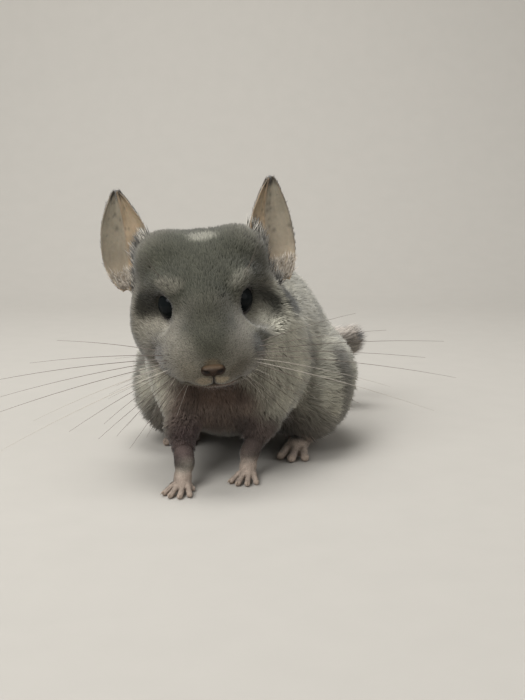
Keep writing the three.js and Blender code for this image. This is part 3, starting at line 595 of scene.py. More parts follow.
BODY_MARKS = [
    ("back", (0, 66, 84), (30, 60, 18), (84, 82, 74), 0.9),
    ("rump saddle", (4, 112, 52), (34, 22, 26), (78, 76, 68), 0.85),
    ("shoulder patch right", (-27, 42, 72), (13, 15, 10), (62, 61, 53), 0.95),
    ("flank band left", (38, 36, 48), (4, 5, 26), (90, 86, 78), 0.6),
    ("flank streak left", (43, 43, 46), (4, 5, 20), (158, 155, 142), 0.6),
    ("rump band left", (49, 53, 40), (6, 9, 26), (80, 77, 71), 0.8),
    ("flank band right", (-44, 48, 44), (7, 9, 24), (80, 77, 69), 0.85),
    ("rump band right", (-47, 80, 42), (9, 9, 24), (80, 77, 69), 0.8),
    # low flanks: darker towards the bottom, partly their own colour and partly painted shade on the
    # underside.
    ("low flanks", (0, 55, 6), (60, 70, 27), (74, 68, 63), 0.9),
    # breast: darker than its own paler coat with painted shade, where shade falls under the head.
    ("breast", (0, 0, 26), (26, 22, 22), (80, 66, 59), 0.9),
    # forearms: partly their own grey-brown, partly painted shade where the forelegs stand in shade under the
    # breast; the left one darker still.
    ("forearm left", (15.4, 15, 14), (12, 16, 14), (72, 62, 58), 0.95),
    ("forearm right", (-11, -3, 14), (12, 16, 14), (76, 64, 61), 0.95),
]
SIDE_MARKS = [
    # on head and body alike, placed in the head's frame
    # throat: darker than its own paler coat with painted shade, where shade falls under the chin.
    ("throat", (0, -14, -33), (17, 15, 8), (80, 66, 58), 0.8),
    ("band right", (-24, 0, 2), (11, 11, 6.2), (38, 36, 30), 0.97),
    # band left: darker than the right band, partly its own colour and partly painted shade on the face's left
    # side.
    ("band left", (24.5, -4.5, -0.8), (12, 12, 7.4), (31, 31, 25), 0.97),
    ("shoulder patch left", (38, 11, -7), (10, 12, 8.5), (46, 46, 38), 0.97),
    ("eye ring right", (-15.8, -2.6, 1), (7.6, 7.6, 7.2), (42, 40, 34), 0.75),
    ("eye ring left", (15.8, -2.6, 1), (7.6, 7.6, 7.2), (38, 36, 31), 0.75),
]
BODY_TONE = (152, 149, 136)
CHEEK_TONE = (96, 92, 82)
FOOT_TONE = (150, 136, 124)
LIP_TONE = (40, 32, 28)


def patch_weight(p, at, radii):
    q = (p - np.array(at, float)) / np.array(radii, float)
    return 1 - smoothstep(np.sqrt((q * q).sum(-1)), 0.55, 1.15)


def markings(p, mottling):
    """The coat's colour at points in millimetres, with the painted shade that some patches hold."""
    pb, ph = in_body(p), in_head(p)
    wobble = np.stack([noise(p, 9, 11 + n) for n in range(3)], -1) * 1.4
    _, _, headness, _ = coat_parts(p)
    colour = np.empty(p.shape)
    colour[...] = tone(*BODY_TONE)
    for _, at, radii, seen, strength in BODY_MARKS:
        colour = blend(colour, tone(*seen), patch_weight(pb + wobble, at, radii) * strength)
    face = np.empty(p.shape)
    face[...] = tone(*CHEEK_TONE)
    for _, at, radii, seen, strength in HEAD_MARKS:
        face = blend(face, tone(*seen), patch_weight(ph + wobble * 0.6, at, radii) * strength)
    line = np.exp(-((from_lips(ph) / 0.95) ** 2)) * (ph[..., 1] < -13) * 0.9
    face = blend(face, tone(*LIP_TONE), line)
    colour = blend(colour, face, smoothstep(headness, 0.25, 0.75))
    for _, at, radii, seen, strength in SIDE_MARKS:
        colour = blend(colour, tone(*seen), patch_weight(ph + wobble * 0.6, at, radii) * strength)
    foot = (1 - smoothstep(pb[..., 2], 5.5, 9.5)) * (feet_field(pb) < 2.5)
    colour = blend(colour, tone(*FOOT_TONE), foot)
    blotch = 1 + mottling * (0.17 * noise(p, 8, 5) + 0.20 * noise(p * (1, 1, 0.35), 4.5, 8))
    soft = np.where(headness > 0.5, 0.35, 1.0) * (1 - foot)
    return np.clip(colour * (1 + (blotch - 1) * soft)[..., None], 0.004, 1)


def along_foreleg(pb):
    """The way down the nearer foreleg, in the body's frame."""
    way = np.empty(pb.shape)
    for side, s in SIDES.items():
        shoulder, elbow, wrist = (np.array(place, float) for place in FORELEGS[side])
        upper, lower = elbow - shoulder, wrist - elbow
        above = smoothstep(pb[..., 2], elbow[2] - 5, elbow[2] + 4)[..., None]
        bent = upper / np.linalg.norm(upper) * above + lower / np.linalg.norm(lower) * (1 - above)
        here = pb[..., 0] * s >= 0
        way[here] = bent[here]
    return way


def hair_lie(p, normal, rng, scatter):
    """The way the hair lies on the surface: back from the nose, over the back and down to the feet."""
    pb, ph = in_body(p), in_head(p)
    _, _, headness, legness = coat_parts(p)
    head_way = unit((ph - (NOSE_AT + (0, -3, 3))) @ HEAD.T)
    front = 1 - smoothstep(pb[:, 1], 2, 34)
    down = -0.4 - 0.9 * front - smoothstep(pb[:, 1], 90, 118)
    way = np.stack([pb[:, 0] / 60, 1 - 0.8 * front, down], -1)
    way = way * (1 - legness[:, None]) + along_foreleg(pb) * legness[:, None]
    body_way = unit(way @ BODY.T)
    w = headness[:, None]
    way = head_way * w + body_way * (1 - w)
    loose = 0.36 - 0.2 * w + 0.3 * patch_weight(folded(ph), *JOWL)[:, None]
    clump = np.stack([noise(p, 5, 31 + n) for n in range(3)], -1) * loose
    way = way + clump * scatter + rng.normal(size=way.shape) * 0.16 * scatter
    way -= normal * (way * normal).sum(-1)[:, None]
    return unit(way, 1e-6)


def bake_place(p):
    """A root's place on an unwrap of the skin: the body's half and the head's half, each round its middle."""
    pb, ph = in_body(p), in_head(p)
    _, _, headness, _ = coat_parts(p)
    on_the_head = headness > 0.5
    q = np.where(on_the_head[:, None], ph - (0, 4, -2), pb - (0, 58, 34))
    round_share = np.arctan2(q[:, 0], -q[:, 1]) / (2 * math.pi) + 0.5
    height = np.arctan2(q[:, 2], np.hypot(q[:, 0], q[:, 1])) / math.pi + 0.5
    u = 0.01 + 0.48 * round_share + np.where(on_the_head, 0.5, 0.0)
    return np.stack([u, 0.01 + 0.98 * height, np.zeros(len(p))], -1)


# Node helpers

def socket(where, name):
    for found in where:
        if found.name == name and found.enabled:
            return found
    raise RuntimeError("no socket named " + name)


def join(tree, source, source_name, target, target_name):
    tree.links.new(socket(source.outputs, source_name), socket(target.inputs, target_name))


def geometry_tree(name, inputs):
    tree = bpy.data.node_groups.new(name, "GeometryNodeTree")
    tree.interface.new_socket("Geometry", in_out="INPUT", socket_type="NodeSocketGeometry")
    for label, kind, default in inputs:
        made = tree.interface.new_socket(label, in_out="INPUT", socket_type=kind)
        if default is not None:
            made.default_value = default
    tree.interface.new_socket("Geometry", in_out="OUTPUT", socket_type="NodeSocketGeometry")
    return tree, tree.nodes.new("NodeGroupInput"), tree.nodes.new("NodeGroupOutput")


def named_value(tree, name, kind):
    node = tree.nodes.new("GeometryNodeInputNamedAttribute")
    node.data_type = kind
    node.inputs["Name"].default_value = name
    return node


def read_into(tree, name, kind, target):
    """Leads a value kept on the points into a node's socket."""
    tree.links.new(socket(named_value(tree, name, kind).outputs, "Attribute"), target)


def tuft_tree():
    """Sets one blade of hair on every root, turned and sized by the root's own values."""
    tree, given, out = geometry_tree("tufts_on_roots", [
        ("Blade", "NodeSocketObject", None),
        ("Material", "NodeSocketMaterial", None),
        ("Length", "NodeSocketFloat", 1.0),
        ("Width", "NodeSocketFloat", 1.0),
        ("Unevenness", "NodeSocketFloat", 0.2),
        ("Seed", "NodeSocketInt", 1),
    ])
    nodes = tree.nodes
    blade = nodes.new("GeometryNodeObjectInfo")
    join(tree, given, "Blade", blade, "Object")
    place = nodes.new("GeometryNodeInstanceOnPoints")
    join(tree, given, "Geometry", place, "Points")
    join(tree, blade, "Geometry", place, "Instance")
    read_into(tree, "turn", "FLOAT_VECTOR", place.inputs["Rotation"])
    sizes = nodes.new("ShaderNodeCombineXYZ")
    join(tree, given, "Width", sizes, "X")
    join(tree, given, "Length", sizes, "Y")
    join(tree, given, "Length", sizes, "Z")
    scaled = nodes.new("ShaderNodeVectorMath")
    scaled.operation = "MULTIPLY"
    read_into(tree, "size", "FLOAT_VECTOR", scaled.inputs[0])
    tree.links.new(sizes.outputs[0], scaled.inputs[1])
    least = nodes.new("ShaderNodeMath")
    least.operation = "SUBTRACT"
    least.inputs[0].default_value = 1.0
    tree.links.new(socket(given.outputs, "Unevenness"), least.inputs[1])
    most = nodes.new("ShaderNodeMath")
    most.operation = "ADD"
    most.inputs[0].default_value = 1.0
    tree.links.new(socket(given.outputs, "Unevenness"), most.inputs[1])
    chance = nodes.new("FunctionNodeRandomValue")
    chance.data_type = "FLOAT"
    tree.links.new(least.outputs[0], socket(chance.inputs, "Min"))
    tree.links.new(most.outputs[0], socket(chance.inputs, "Max"))
    join(tree, given, "Seed", chance, "Seed")
    uneven = nodes.new("ShaderNodeVectorMath")
    uneven.operation = "SCALE"
    tree.links.new(scaled.outputs[0], uneven.inputs[0])
    tree.links.new(socket(chance.outputs, "Value"), socket(uneven.inputs, "Scale"))
    tree.links.new(uneven.outputs[0], place.inputs["Scale"])
    real = nodes.new("GeometryNodeRealizeInstances")
    join(tree, place, "Instances", real, "Geometry")
    patch = nodes.new("ShaderNodeVectorMath")
    patch.operation = "ADD"
    read_into(tree, "root_place", "FLOAT_VECTOR", patch.inputs[0])
    read_into(tree, "patch", "FLOAT_VECTOR", patch.inputs[1])
    unwrap = nodes.new("GeometryNodeStoreNamedAttribute")
    unwrap.data_type = "FLOAT2"
    unwrap.domain = "CORNER"
    unwrap.inputs["Name"].default_value = "OFBake"
    join(tree, real, "Geometry", unwrap, "Geometry")
    tree.links.new(patch.outputs[0], socket(unwrap.inputs, "Value"))
    finish = nodes.new("GeometryNodeSetMaterial")
    join(tree, unwrap, "Geometry", finish, "Geometry")
    join(tree, given, "Material", finish, "Material")
    join(tree, finish, "Geometry", out, "Geometry")
    return tree


def strand_tree():
    """Sweeps a thin tapered strand along every line of edges."""
    tree, given, out = geometry_tree("strands_on_lines", [
        ("Material", "NodeSocketMaterial", None),
        ("Thickness", "NodeSocketFloat", 1.0),
        ("Sides", "NodeSocketInt", 6),
    ])
    nodes = tree.nodes
    curve = nodes.new("GeometryNodeMeshToCurve")
    tree.links.new(socket(given.outputs, "Geometry"), curve.inputs[0])
    radius = nodes.new("ShaderNodeMath")
    radius.operation = "MULTIPLY"
    read_into(tree, "radius_here", "FLOAT", radius.inputs[0])
    tree.links.new(socket(given.outputs, "Thickness"), radius.inputs[1])
    ring = nodes.new("GeometryNodeCurvePrimitiveCircle")
    tree.links.new(socket(given.outputs, "Sides"), socket(ring.inputs, "Resolution"))
    socket(ring.inputs, "Radius").default_value = 1.0
    sweep = nodes.new("GeometryNodeCurveToMesh")
    tree.links.new(curve.outputs[0], socket(sweep.inputs, "Curve"))
    tree.links.new(radius.outputs[0], socket(sweep.inputs, "Scale"))
    tree.links.new(ring.outputs[0], socket(sweep.inputs, "Profile Curve"))
    socket(sweep.inputs, "Fill Caps").default_value = True
    real = nodes.new("GeometryNodeRealizeInstances")
    tree.links.new(sweep.outputs[0], real.inputs[0])
    finish = nodes.new("GeometryNodeSetMaterial")
    tree.links.new(real.outputs[0], finish.inputs[0])
    join(tree, given, "Material", finish, "Material")
    join(tree, finish, "Geometry", out, "Geometry")
    return tree


def grown(name, base_mesh, tree, values):
    """Runs a tree on a mesh and gives its result back as a plain mesh object."""
    carrier = new_object(name + "_roots", base_mesh)
    modifier = carrier.modifiers.new("growth", "NODES")
    modifier.node_group = tree
    known = {item.name: item.identifier for item in tree.interface.items_tree if item.in_out == "INPUT"}
    for label, value in values.items():
        modifier[known[label]] = value
    bpy.context.view_layer.update()
    shown = carrier.evaluated_get(bpy.context.evaluated_depsgraph_get())
    made = bpy.data.meshes.new_from_object(shown)
    carrier.modifiers.remove(modifier)
    bpy.data.objects.remove(carrier)
    made.name = name
    if not len(made.polygons):
        raise RuntimeError(name + " came out empty")
    return made


# One blade of hair: x across, y along the lie, z off the skin, each one long before it is sized

BAKE_PATCH = 0.003  # a blade's share of the unwrap
SKIN_NORMAL_SHARE = 0.6
UNEVENNESS = 0.12


def blade_mesh(name, rings):
    """A closed blade from a root point through flat rings of three corners to its tip."""
    points = [(0.0, 0.0, -0.12)]
    for half, y, z, thick in rings:
        points += [(-half, y, z), (half, y, z), (0.0, y - thick * 0.4, z + thick)]
    points.append((0.0, 1.0, 1.0))
    points = np.array(points)
    faces = []
    for n in range(3):
        faces.append((0, 1 + (n + 1) % 3, 1 + n))
    for r in range(len(rings) - 1):
        for n in range(3):
            a, b = 1 + 3 * r + n, 1 + 3 * r + (n + 1) % 3
            faces += [(a, b, b + 3), (a, b + 3, a + 3)]
    last = len(points) - 1
    for n in range(3):
        faces.append((last, last - 3 + n, last - 3 + (n + 1) % 3))
    faces = outward(points, [np.array(faces)])
    mesh = bpy.data.meshes.new(name)
    mesh.from_pydata(points.tolist(), [], faces[0].tolist())
    patch = [points[:, 0] * BAKE_PATCH, (points[:, 1] - 0.5) * BAKE_PATCH, np.zeros(len(points))]
    keep_values(mesh, "patch", "FLOAT_VECTOR", np.stack(patch, -1))
    keep_values(mesh, "along", "FLOAT", points[:, 1])
    return mesh


SHORT_BLADE = [(0.5, 0.42, 0.5, 0.12)]
LONG_BLADE = [(0.42, 0.16, 0.34, 0.1), (0.5, 0.55, 0.72, 0.09)]


def facing(lie, normal, roll):
    """Euler angles that lay a blade along the lie with its flat side on the skin."""
    across = unit(np.cross(lie, normal), 1e-6)
    up = np.cross(across, lie)
    c, s = np.cos(roll)[:, None], np.sin(roll)[:, None]
    across, up = across * c + up * s, up * c - across * s
    pitch = np.arcsin(np.clip(-across[:, 2], -1, 1))
    about_x = np.arctan2(lie[:, 2], up[:, 2])
    about_z = np.arctan2(across[:, 1], across[:, 0])
    return np.stack([about_x, pitch, about_z], -1)


def tuft_piece(name, roots, normals, lie, size, colours, blade, seed):
    """One piece of the coat: a plain mesh with a blade on each root."""
    rng = np.random.default_rng(seed)
    base = mesh_of(name + "_roots", roots, [])
    roll = rng.normal(size=len(roots)) * 0.3
    keep_values(base, "turn", "FLOAT_VECTOR", facing(lie, normals, roll))
    keep_values(base, "size", "FLOAT_VECTOR", size * MM)
    keep_values(base, "root_place", "FLOAT_VECTOR", bake_place(roots))
    keep_values(base, "root_normal", "FLOAT_VECTOR", normals)
    keep_colours(base, colours)
    blade_object = new_object(name + "_blade", blade_mesh(name + "_blade", blade))
    tree = bpy.data.node_groups.get("tufts_on_roots") or tuft_tree()
    mesh = grown(name, base, tree, {
        "Blade": blade_object, "Material": fur_finish(), "Length": 1.0, "Width": 1.0,
        "Unevenness": UNEVENNESS, "Seed": seed,
    })
    bpy.data.objects.remove(blade_object)
    rise = read_vectors(mesh.attributes["root_normal"].data, "vector")
    own = read_vectors(mesh.vertices, "normal")
    blended = unit(rise * SKIN_NORMAL_SHARE + own * (1 - SKIN_NORMAL_SHARE), 1e-6)
    for spare in ("turn", "size", "root_place", "root_normal", "patch"):
        if spare in mesh.attributes:
            mesh.attributes.remove(mesh.attributes[spare])
    shade_smooth(mesh)
    mesh.normals_split_custom_set_from_vertices(blended.tolist())
    return finished(name, mesh, None)


def finished(name, mesh, material, replaces=()):
    piece = new_object(name, mesh)
    if material is not None:
        mesh.materials.clear()
        mesh.materials.append(material)
    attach(piece, "root")
    if replaces:
        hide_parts(*replaces)
    return piece


# Finishes

def shader_group(name, inputs, outputs):
    group = bpy.data.node_groups.new(name, "ShaderNodeTree")
    for label, kind, default in inputs:
        made = group.interface.new_socket(label, in_out="INPUT", socket_type=kind)
        if default is not None:
            made.default_value = default
    for label, kind in outputs:
        group.interface.new_socket(label, in_out="OUTPUT", socket_type=kind)
    return group, group.nodes.new("NodeGroupInput"), group.nodes.new("NodeGroupOutput")


def shader_math(group, operation, first, second):
    node = group.nodes.new("ShaderNodeMath")
    node.operation = operation
    for slot_number, value in enumerate((first, second)):
        if isinstance(value, (int, float)):
            node.inputs[slot_number].default_value = value
        else:
            group.links.new(value, node.inputs[slot_number])
    return node.outputs[0]


def uneven_tone():
    """Group: a colour made lighter and darker in soft patches, with the same pattern as a height."""
    found = bpy.data.node_groups.get("uneven_tone")
    if found:
        return found
    group, given, out = shader_group("uneven_tone", [
        ("Color", "NodeSocketColor", (0.5, 0.5, 0.5, 1)),
        ("Scale", "NodeSocketFloat", 500.0),
        ("Stretch", "NodeSocketVector", (1.0, 1.0, 1.0)),
        ("Strength", "NodeSocketFloat", 0.2),
    ], [("Color", "NodeSocketColor"), ("Height", "NodeSocketFloat")])
    place = group.nodes.new("ShaderNodeTexCoord")
    stretched = group.nodes.new("ShaderNodeVectorMath")
    stretched.operation = "MULTIPLY"
    group.links.new(place.outputs["Object"], stretched.inputs[0])
    group.links.new(given.outputs["Stretch"], stretched.inputs[1])
    grain = group.nodes.new("ShaderNodeTexNoise")
    grain.inputs["Detail"].default_value = 3.0
    group.links.new(stretched.outputs[0], grain.inputs["Vector"])
    group.links.new(given.outputs["Scale"], grain.inputs["Scale"])
    centred = shader_math(group, "SUBTRACT", grain.outputs[0], 0.5)
    swing = shader_math(group, "MULTIPLY", centred, given.outputs["Strength"])
    bright = shader_math(group, "ADD", shader_math(group, "MULTIPLY", swing, 2.0), 1.0)
    mixed = group.nodes.new("ShaderNodeVectorMath")
    mixed.operation = "SCALE"
    group.links.new(given.outputs["Color"], mixed.inputs[0])
    group.links.new(bright, mixed.inputs["Scale"])
    group.links.new(mixed.outputs[0], out.inputs["Color"])
    group.links.new(grain.outputs[0], out.inputs["Height"])
    return group


def root_to_tip():
    """Group: a hair's colour, darker at its root and paler at its tip; the dark root is partly the hair's own
    dark base and partly painted shade in the gaps between tufts.
    """
    found = bpy.data.node_groups.get("root_to_tip")
    if found:
        return found
    group, given, out = shader_group("root_to_tip", [
        ("Color", "NodeSocketColor", (0.5, 0.5, 0.5, 1)),
        ("Root", "NodeSocketFloat", 0.5),
        ("Tip", "NodeSocketFloat", 1.1),
    ], [("Color", "NodeSocketColor")])
    along = group.nodes.new("ShaderNodeAttribute")
    along.attribute_name = "along"
    span = shader_math(group, "SUBTRACT", given.outputs["Tip"], given.outputs["Root"])
    risen = shader_math(group, "MULTIPLY", span, along.outputs["Fac"])
    bright = shader_math(group, "ADD", risen, given.outputs["Root"])
    mixed = group.nodes.new("ShaderNodeVectorMath")
    mixed.operation = "SCALE"
    group.links.new(given.outputs["Color"], mixed.inputs[0])
    group.links.new(bright, mixed.inputs["Scale"])
    group.links.new(mixed.outputs[0], out.inputs["Color"])
    return group


def finish_of(name, colour=None, attribute=None, scale=500.0, stretch=(1, 1, 1), strength=0.2,
              bump=0.2, bump_distance=0.0004, roughness=0.8, ends=None, **constants):
    """A finish: a colour or a colour attribute, made uneven, with a bump of the same grain."""
    found = bpy.data.materials.get(name)
    if found:
        return found
    material = bpy.data.materials.new(name)
    material.use_nodes = True
    tree = material.node_tree
    shader = tree.nodes["Principled BSDF"]
    shader.inputs["Roughness"].default_value = roughness
    for label, value in constants.items():
        shader.inputs[label.replace("_", " ").title().replace("Ior", "IOR")].default_value = value
    uneven = tree.nodes.new("ShaderNodeGroup")
    uneven.node_tree = uneven_tone()
    uneven.inputs["Scale"].default_value = scale
    uneven.inputs["Stretch"].default_value = stretch
    uneven.inputs["Strength"].default_value = strength
    if attribute:
        source = tree.nodes.new("ShaderNodeAttribute")
        source.attribute_name = attribute
        start = source.outputs["Color"]
        if ends:
            hair = tree.nodes.new("ShaderNodeGroup")
            hair.node_tree = root_to_tip()
            hair.inputs["Root"].default_value, hair.inputs["Tip"].default_value = ends
            tree.links.new(start, hair.inputs["Color"])
            start = hair.outputs["Color"]
        tree.links.new(start, uneven.inputs["Color"])
    else:
        uneven.inputs["Color"].default_value = (*colour, 1)
    tree.links.new(uneven.outputs["Color"], shader.inputs["Base Color"])
    if bump:
        node = tree.nodes.new("ShaderNodeBump")
        node.inputs["Strength"].default_value = bump
        node.inputs["Distance"].default_value = bump_distance
        tree.links.new(uneven.outputs["Height"], node.inputs["Height"])
        tree.links.new(node.outputs["Normal"], shader.inputs["Normal"])
    return material


def fur_finish():
    # Hair darker at the root: partly its own dark base, partly painted shade in the gaps between tufts.
    return finish_of("short_fur", attribute="coat_colour", scale=900, strength=0.16, bump=0.0,
                     roughness=0.85, ends=(0.5, 1.12), sheen_weight=0.25, sheen_roughness=0.5,
                     specular_ior_level=0.15)


def skin_finish():
    return finish_of("skin_under_fur", attribute="coat_colour", scale=1600, stretch=(1, 1, 0.5), strength=0.3,
                     bump=0.5, bump_distance=0.0005, roughness=0.8, specular_ior_level=0.2)


# Settings a user would change

class CHINCHILLA_PG_coat(bpy.types.PropertyGroup):
    body_tufts: IntProperty(name="Body tufts", description="Tufts of hair on the body",
                            default=120000, min=1000)
    head_tufts: IntProperty(name="Head tufts", description="Tufts of hair on the head",
                            default=90000, min=1000)
    tuft_width: FloatProperty(name="Tuft width", description="Width of one tuft on the body", default=0.00062,
                              min=0.0002, max=0.003, unit="LENGTH", precision=5)
    lean: FloatProperty(name="Lean", description="A hair's length along the skin, over its height",
                        default=1.25, min=0.3, max=4)
    scatter: FloatProperty(name="Scatter", description="How much the hair strays from its lie", default=1.0,
                           min=0, max=3)
    mottling: FloatProperty(name="Mottling", description="Strength of the coat's blotches", default=1.0,
                            min=0, max=3)
    gain: FloatProperty(name="Brightness", description="Brightness of all markings",
                        default=1.45, min=0.2, max=4)
    seed: IntProperty(name="Seed", description="Starts the coat's chances", default=7)


class CHINCHILLA_PG_head(bpy.types.PropertyGroup):
    ear_thickness: FloatProperty(name="Ear thickness", description="Thickness of the ear's leaf at its foot",
                                 default=0.0011, min=0.0003, max=0.003, unit="LENGTH", precision=5)
    ear_tone: FloatVectorProperty(name="Ear", description="Colour of the ear's thin skin", subtype="COLOR",
                                  size=3, default=(0.42, 0.35, 0.265), min=0, max=1)
    eye_tone: FloatVectorProperty(name="Eye", description="Colour of the eye", subtype="COLOR", size=3,
                                  default=(0.005, 0.0065, 0.007), min=0, max=1)
    nose_tone: FloatVectorProperty(name="Nose", description="Colour of the nose's bare skin", subtype="COLOR",
                                   size=3, default=(0.024, 0.014, 0.008), min=0, max=1)
    whisker_width: FloatProperty(name="Whisker width", description="Width of a long whisker at its root",
                                 default=0.0003, min=0.0001, max=0.002, unit="LENGTH", precision=5)


class CHINCHILLA_PG_stage(bpy.types.PropertyGroup):
    floor_tone: FloatVectorProperty(name="Floor", description="Colour of floor and backdrop", subtype="COLOR",
                                    size=3, default=(0.40, 0.38, 0.345), min=0, max=1)
    key_power: FloatProperty(name="Key light", description="Power of the main soft light", default=8.0, min=0,
                             unit="POWER")
    fill: FloatProperty(name="Fill", description="Strength of the light from all round", default=0.34, min=0)


# Builders

class Made:
    """What one operator leaves for the next: the skin's points, faces and normals."""
    skin = None


def skin_grid():
    xs = lines((-82, -52, 1.4), (-52, -1, 0.6), (-1, 24, 0.75), (24, 46, 1.4))
    ys = lines((-38, 10, 0.6), (10, 60, 1.05), (60, 130, 1.5))
    zs = lines((-1.2, 0, 0.6), (0, 10.2, 0.51), (10.2, 38, 1.2), (38, 84, 0.7), (84, 108, 1.2))
    return xs, ys, zs


SOLE_HEIGHT = 0.8  # the skin stays flat below it
UNDER_COAT = 0.8  # the skin's brightness over the hair's


def vertex_normals(points, quads):
    """The points' normals and the quads' areas."""
    diagonal_one = points[quads[:, 2]] - points[quads[:, 0]]
    diagonal_two = points[quads[:, 3]] - points[quads[:, 1]]
    face = np.cross(diagonal_one, diagonal_two)
    total = np.zeros_like(points)
    for n in range(4):
        np.add.at(total, quads[:, n], face)
    return unit(total), np.linalg.norm(face, axis=1) / 2


class CHINCHILLA_OT_skin(bpy.types.Operator):
    """Builds the skin of head, body, legs and feet as one closed surface inside the coat's outline"""
    bl_idname = "chinchilla.skin"
    bl_label = "Skin"

    def execute(self, context):
        settings = context.scene.chinchilla_coat
        points, quads = surface_net(skin_field, *skin_grid())
        points = drawn_onto(skin_field, points, 2, free=points[:, 2] > SOLE_HEIGHT)
        if len(points) < 1000:
            raise RuntimeError("the skin came out empty")
        normals, areas = vertex_normals(points, quads)
        Made.skin = (points, quads, normals, areas)
        mesh = mesh_of("skin", points, quads)
        colour = markings(points, settings.mottling) * settings.gain * UNDER_COAT
        keep_colours(mesh, np.clip(colour, 0, 0.9))
        finished("skin", mesh, skin_finish(), (
            "head", "neck", "torso", "whisker_pad_left", "whisker_pad_right", "foreleg_left", "foreleg_right",
            "thigh_left", "thigh_right", "forepaw_left", "forepaw_right", "hindfoot_left", "hindfoot_right",
        ))
        return {"FINISHED"}


MOST_IN_PIECE = 32000  # tufts of six faces
FEET_TOP = 2.2  # no body hair is rooted lower
EYE_CLEAR, NOSE_CLEAR, LIP_CLEAR = 6.9, 3.4, 0.8  # bare skin round the eye, nose and mouth
FOOT_HAIR = 0.35
TIP_SHARE = 0.9  # the part of a tuft whose colour is seen
FLOOR_MARGIN = 0.3


def across_quads(corners, a, b):
    """Values between the four corners of quads."""
    near = corners[0] * (1 - a) + corners[1] * a
    far = corners[3] * (1 - a) + corners[2] * a
    return near * (1 - b) + far * b


class CHINCHILLA_OT_coat(bpy.types.Operator):
    """Grows the coat of the head and the body from the skin"""
    bl_idname = "chinchilla.coat"
    bl_label = "Coat"

    def execute(self, context):
        if Made.skin is None:
            raise RuntimeError("build the skin before its coat")
        settings = context.scene.chinchilla_coat
        points, quads, normals, areas = Made.skin
        rng = np.random.default_rng(settings.seed)
        middle = points[quads].mean(1)
        _, _, headness, _ = coat_parts(middle)
        clear = middle[:, 2] > FEET_TOP
        fine = 1 + 1.6 * (1 - smoothstep(np.linalg.norm(in_head(middle) - NOSE_AT, axis=1), 10, 34))
        for part, count, weight in (
            ("body", settings.body_tufts, areas * (headness <= 0.5) * clear),
            ("head", settings.head_tufts, areas * (headness > 0.5) * fine),
        ):
            chosen = rng.choice(len(quads), count, p=weight / weight.sum())
            a, b = rng.random((2, count, 1))
            roots = across_quads([points[quads[chosen, n]] for n in range(4)], a, b)
            rise = unit(across_quads([normals[quads[chosen, n]] for n in range(4)], a, b))
            self.grow(settings, part, roots, rise, rng)
        return {"FINISHED"}

    def grow(self, settings, part, roots, rise, rng):
        pb, ph = in_body(roots), in_head(roots)
        beside = folded(ph)
        _, depth, headness, _ = coat_parts(roots)
        depth = np.where(feet_field(pb) < 1.5, FOOT_HAIR, depth)
        from_eye = np.linalg.norm(beside - EYE, axis=1)
        from_nose = np.linalg.norm((ph - NOSE_AT) / (1.25, 1.1, 1.0), axis=1)
        off_lips = (from_lips(ph) > LIP_CLEAR) | (ph[:, 1] > -13)
        keep = (from_eye > EYE_CLEAR) & (from_nose > NOSE_CLEAR) & off_lips
        roots, rise, depth, pb, ph, beside, headness = (
            values[keep] for values in (roots, rise, depth, pb, ph, beside, headness))
        lie = hair_lie(roots, rise, rng, settings.scatter)
        wide = settings.tuft_width / MM
        high = depth * rng.uniform(0.6, 0.95, len(roots))
        long_share = settings.lean * (1 + 0.5 * smoothstep(-depth, -2.0, -0.8))
        long_share = np.where(ph[:, 2] * headness > 17, 0.8, long_share)
        jowl = patch_weight(beside, *JOWL) * headness
        long_share = long_share * (1 + 1.1 * jowl)
        width = wide * np.clip(0.42 + 0.1 * depth, 0.4, 1.0) * (1 + 0.3 * jowl)
        size = np.stack([width, np.maximum(high * long_share, 0.8), np.maximum(high, 0.22)], -1)
        drop = (np.maximum(-rise[:, 2], 0) * size[:, 2] - lie[:, 2] * size[:, 1]) * 1.2
        room = np.maximum(roots[:, 2] - FLOOR_MARGIN, 0.05)
        size *= np.clip(room / np.maximum(drop, 1e-3), 0.05, 1)[:, None] ** np.array((0, 1, 1))
        seen = roots + lie * size[:, 1:2] * TIP_SHARE + rise * size[:, 2:] * TIP_SHARE
        colour = markings(seen, settings.mottling) * settings.gain
        swing = (0.14 + 0.05 * headness + 0.16 * jowl)[:, None]
        colour = np.clip(colour * (1 + rng.normal(size=(len(roots), 1)) * swing), 0.003, 0.92)
        if part == "body":
            place = np.select([pb[:, 1] < 22, pb[:, 1] > 92, pb[:, 0] > 0], [0, 1, 2], 3)
            names = ("coat_breast", "coat_rump", "coat_left_side", "coat_right_side")
        else:
            place = np.select([ph[:, 1] < -12, ph[:, 0] > 0], [0, 1], 2)
            names = ("coat_muzzle", "coat_head_left", "coat_head_right")
        for number, name in enumerate(names):
            found = np.flatnonzero(place == number)
            if not len(found):
                raise RuntimeError(name + " has no tufts")
            shares = np.array_split(found[np.argsort(pb[found, 2])], math.ceil(len(found) / MOST_IN_PIECE))
            for n, share in enumerate(shares):
                label = name if len(shares) == 1 else f"{name}_{n + 1}"
                tuft_piece(label, roots[share], rise[share], lie[share], size[share], colour[share],
                           SHORT_BLADE, settings.seed + number * 10 + n)


# Ears

EAR_SHAPE = {"rear": 13.4, "front": 12.4, "fold": 133, "bulge": 1.6}
EAR_POSE = {
    "left": {"notch": (33.5, 16, -3), "bend": (23, 24, 20), "tip": (31.3, 31.5, 39.5), "swivel": 0},
    "right": {"notch": (30, 16, -1), "bend": (28.8, 24, 20), "tip": (32, 31.5, 39), "swivel": 28},
}
EAR_FOOT_TONE = np.array((0.66, 0.53, 0.40))
EAR_GREY_TONE = np.array((0.25, 0.215, 0.16))
EAR_TIP_TONE = np.array((0.085, 0.07, 0.055))
EAR_RIM_TONE = np.array((0.12, 0.10, 0.08))
EAR_SPECK_TONE = np.array((0.08, 0.07, 0.055))
EAR_RIB_TONE = np.array((0.50, 0.36, 0.25))
EAR_FOLD_SHADE_TONE = np.array((0.20, 0.15, 0.10))


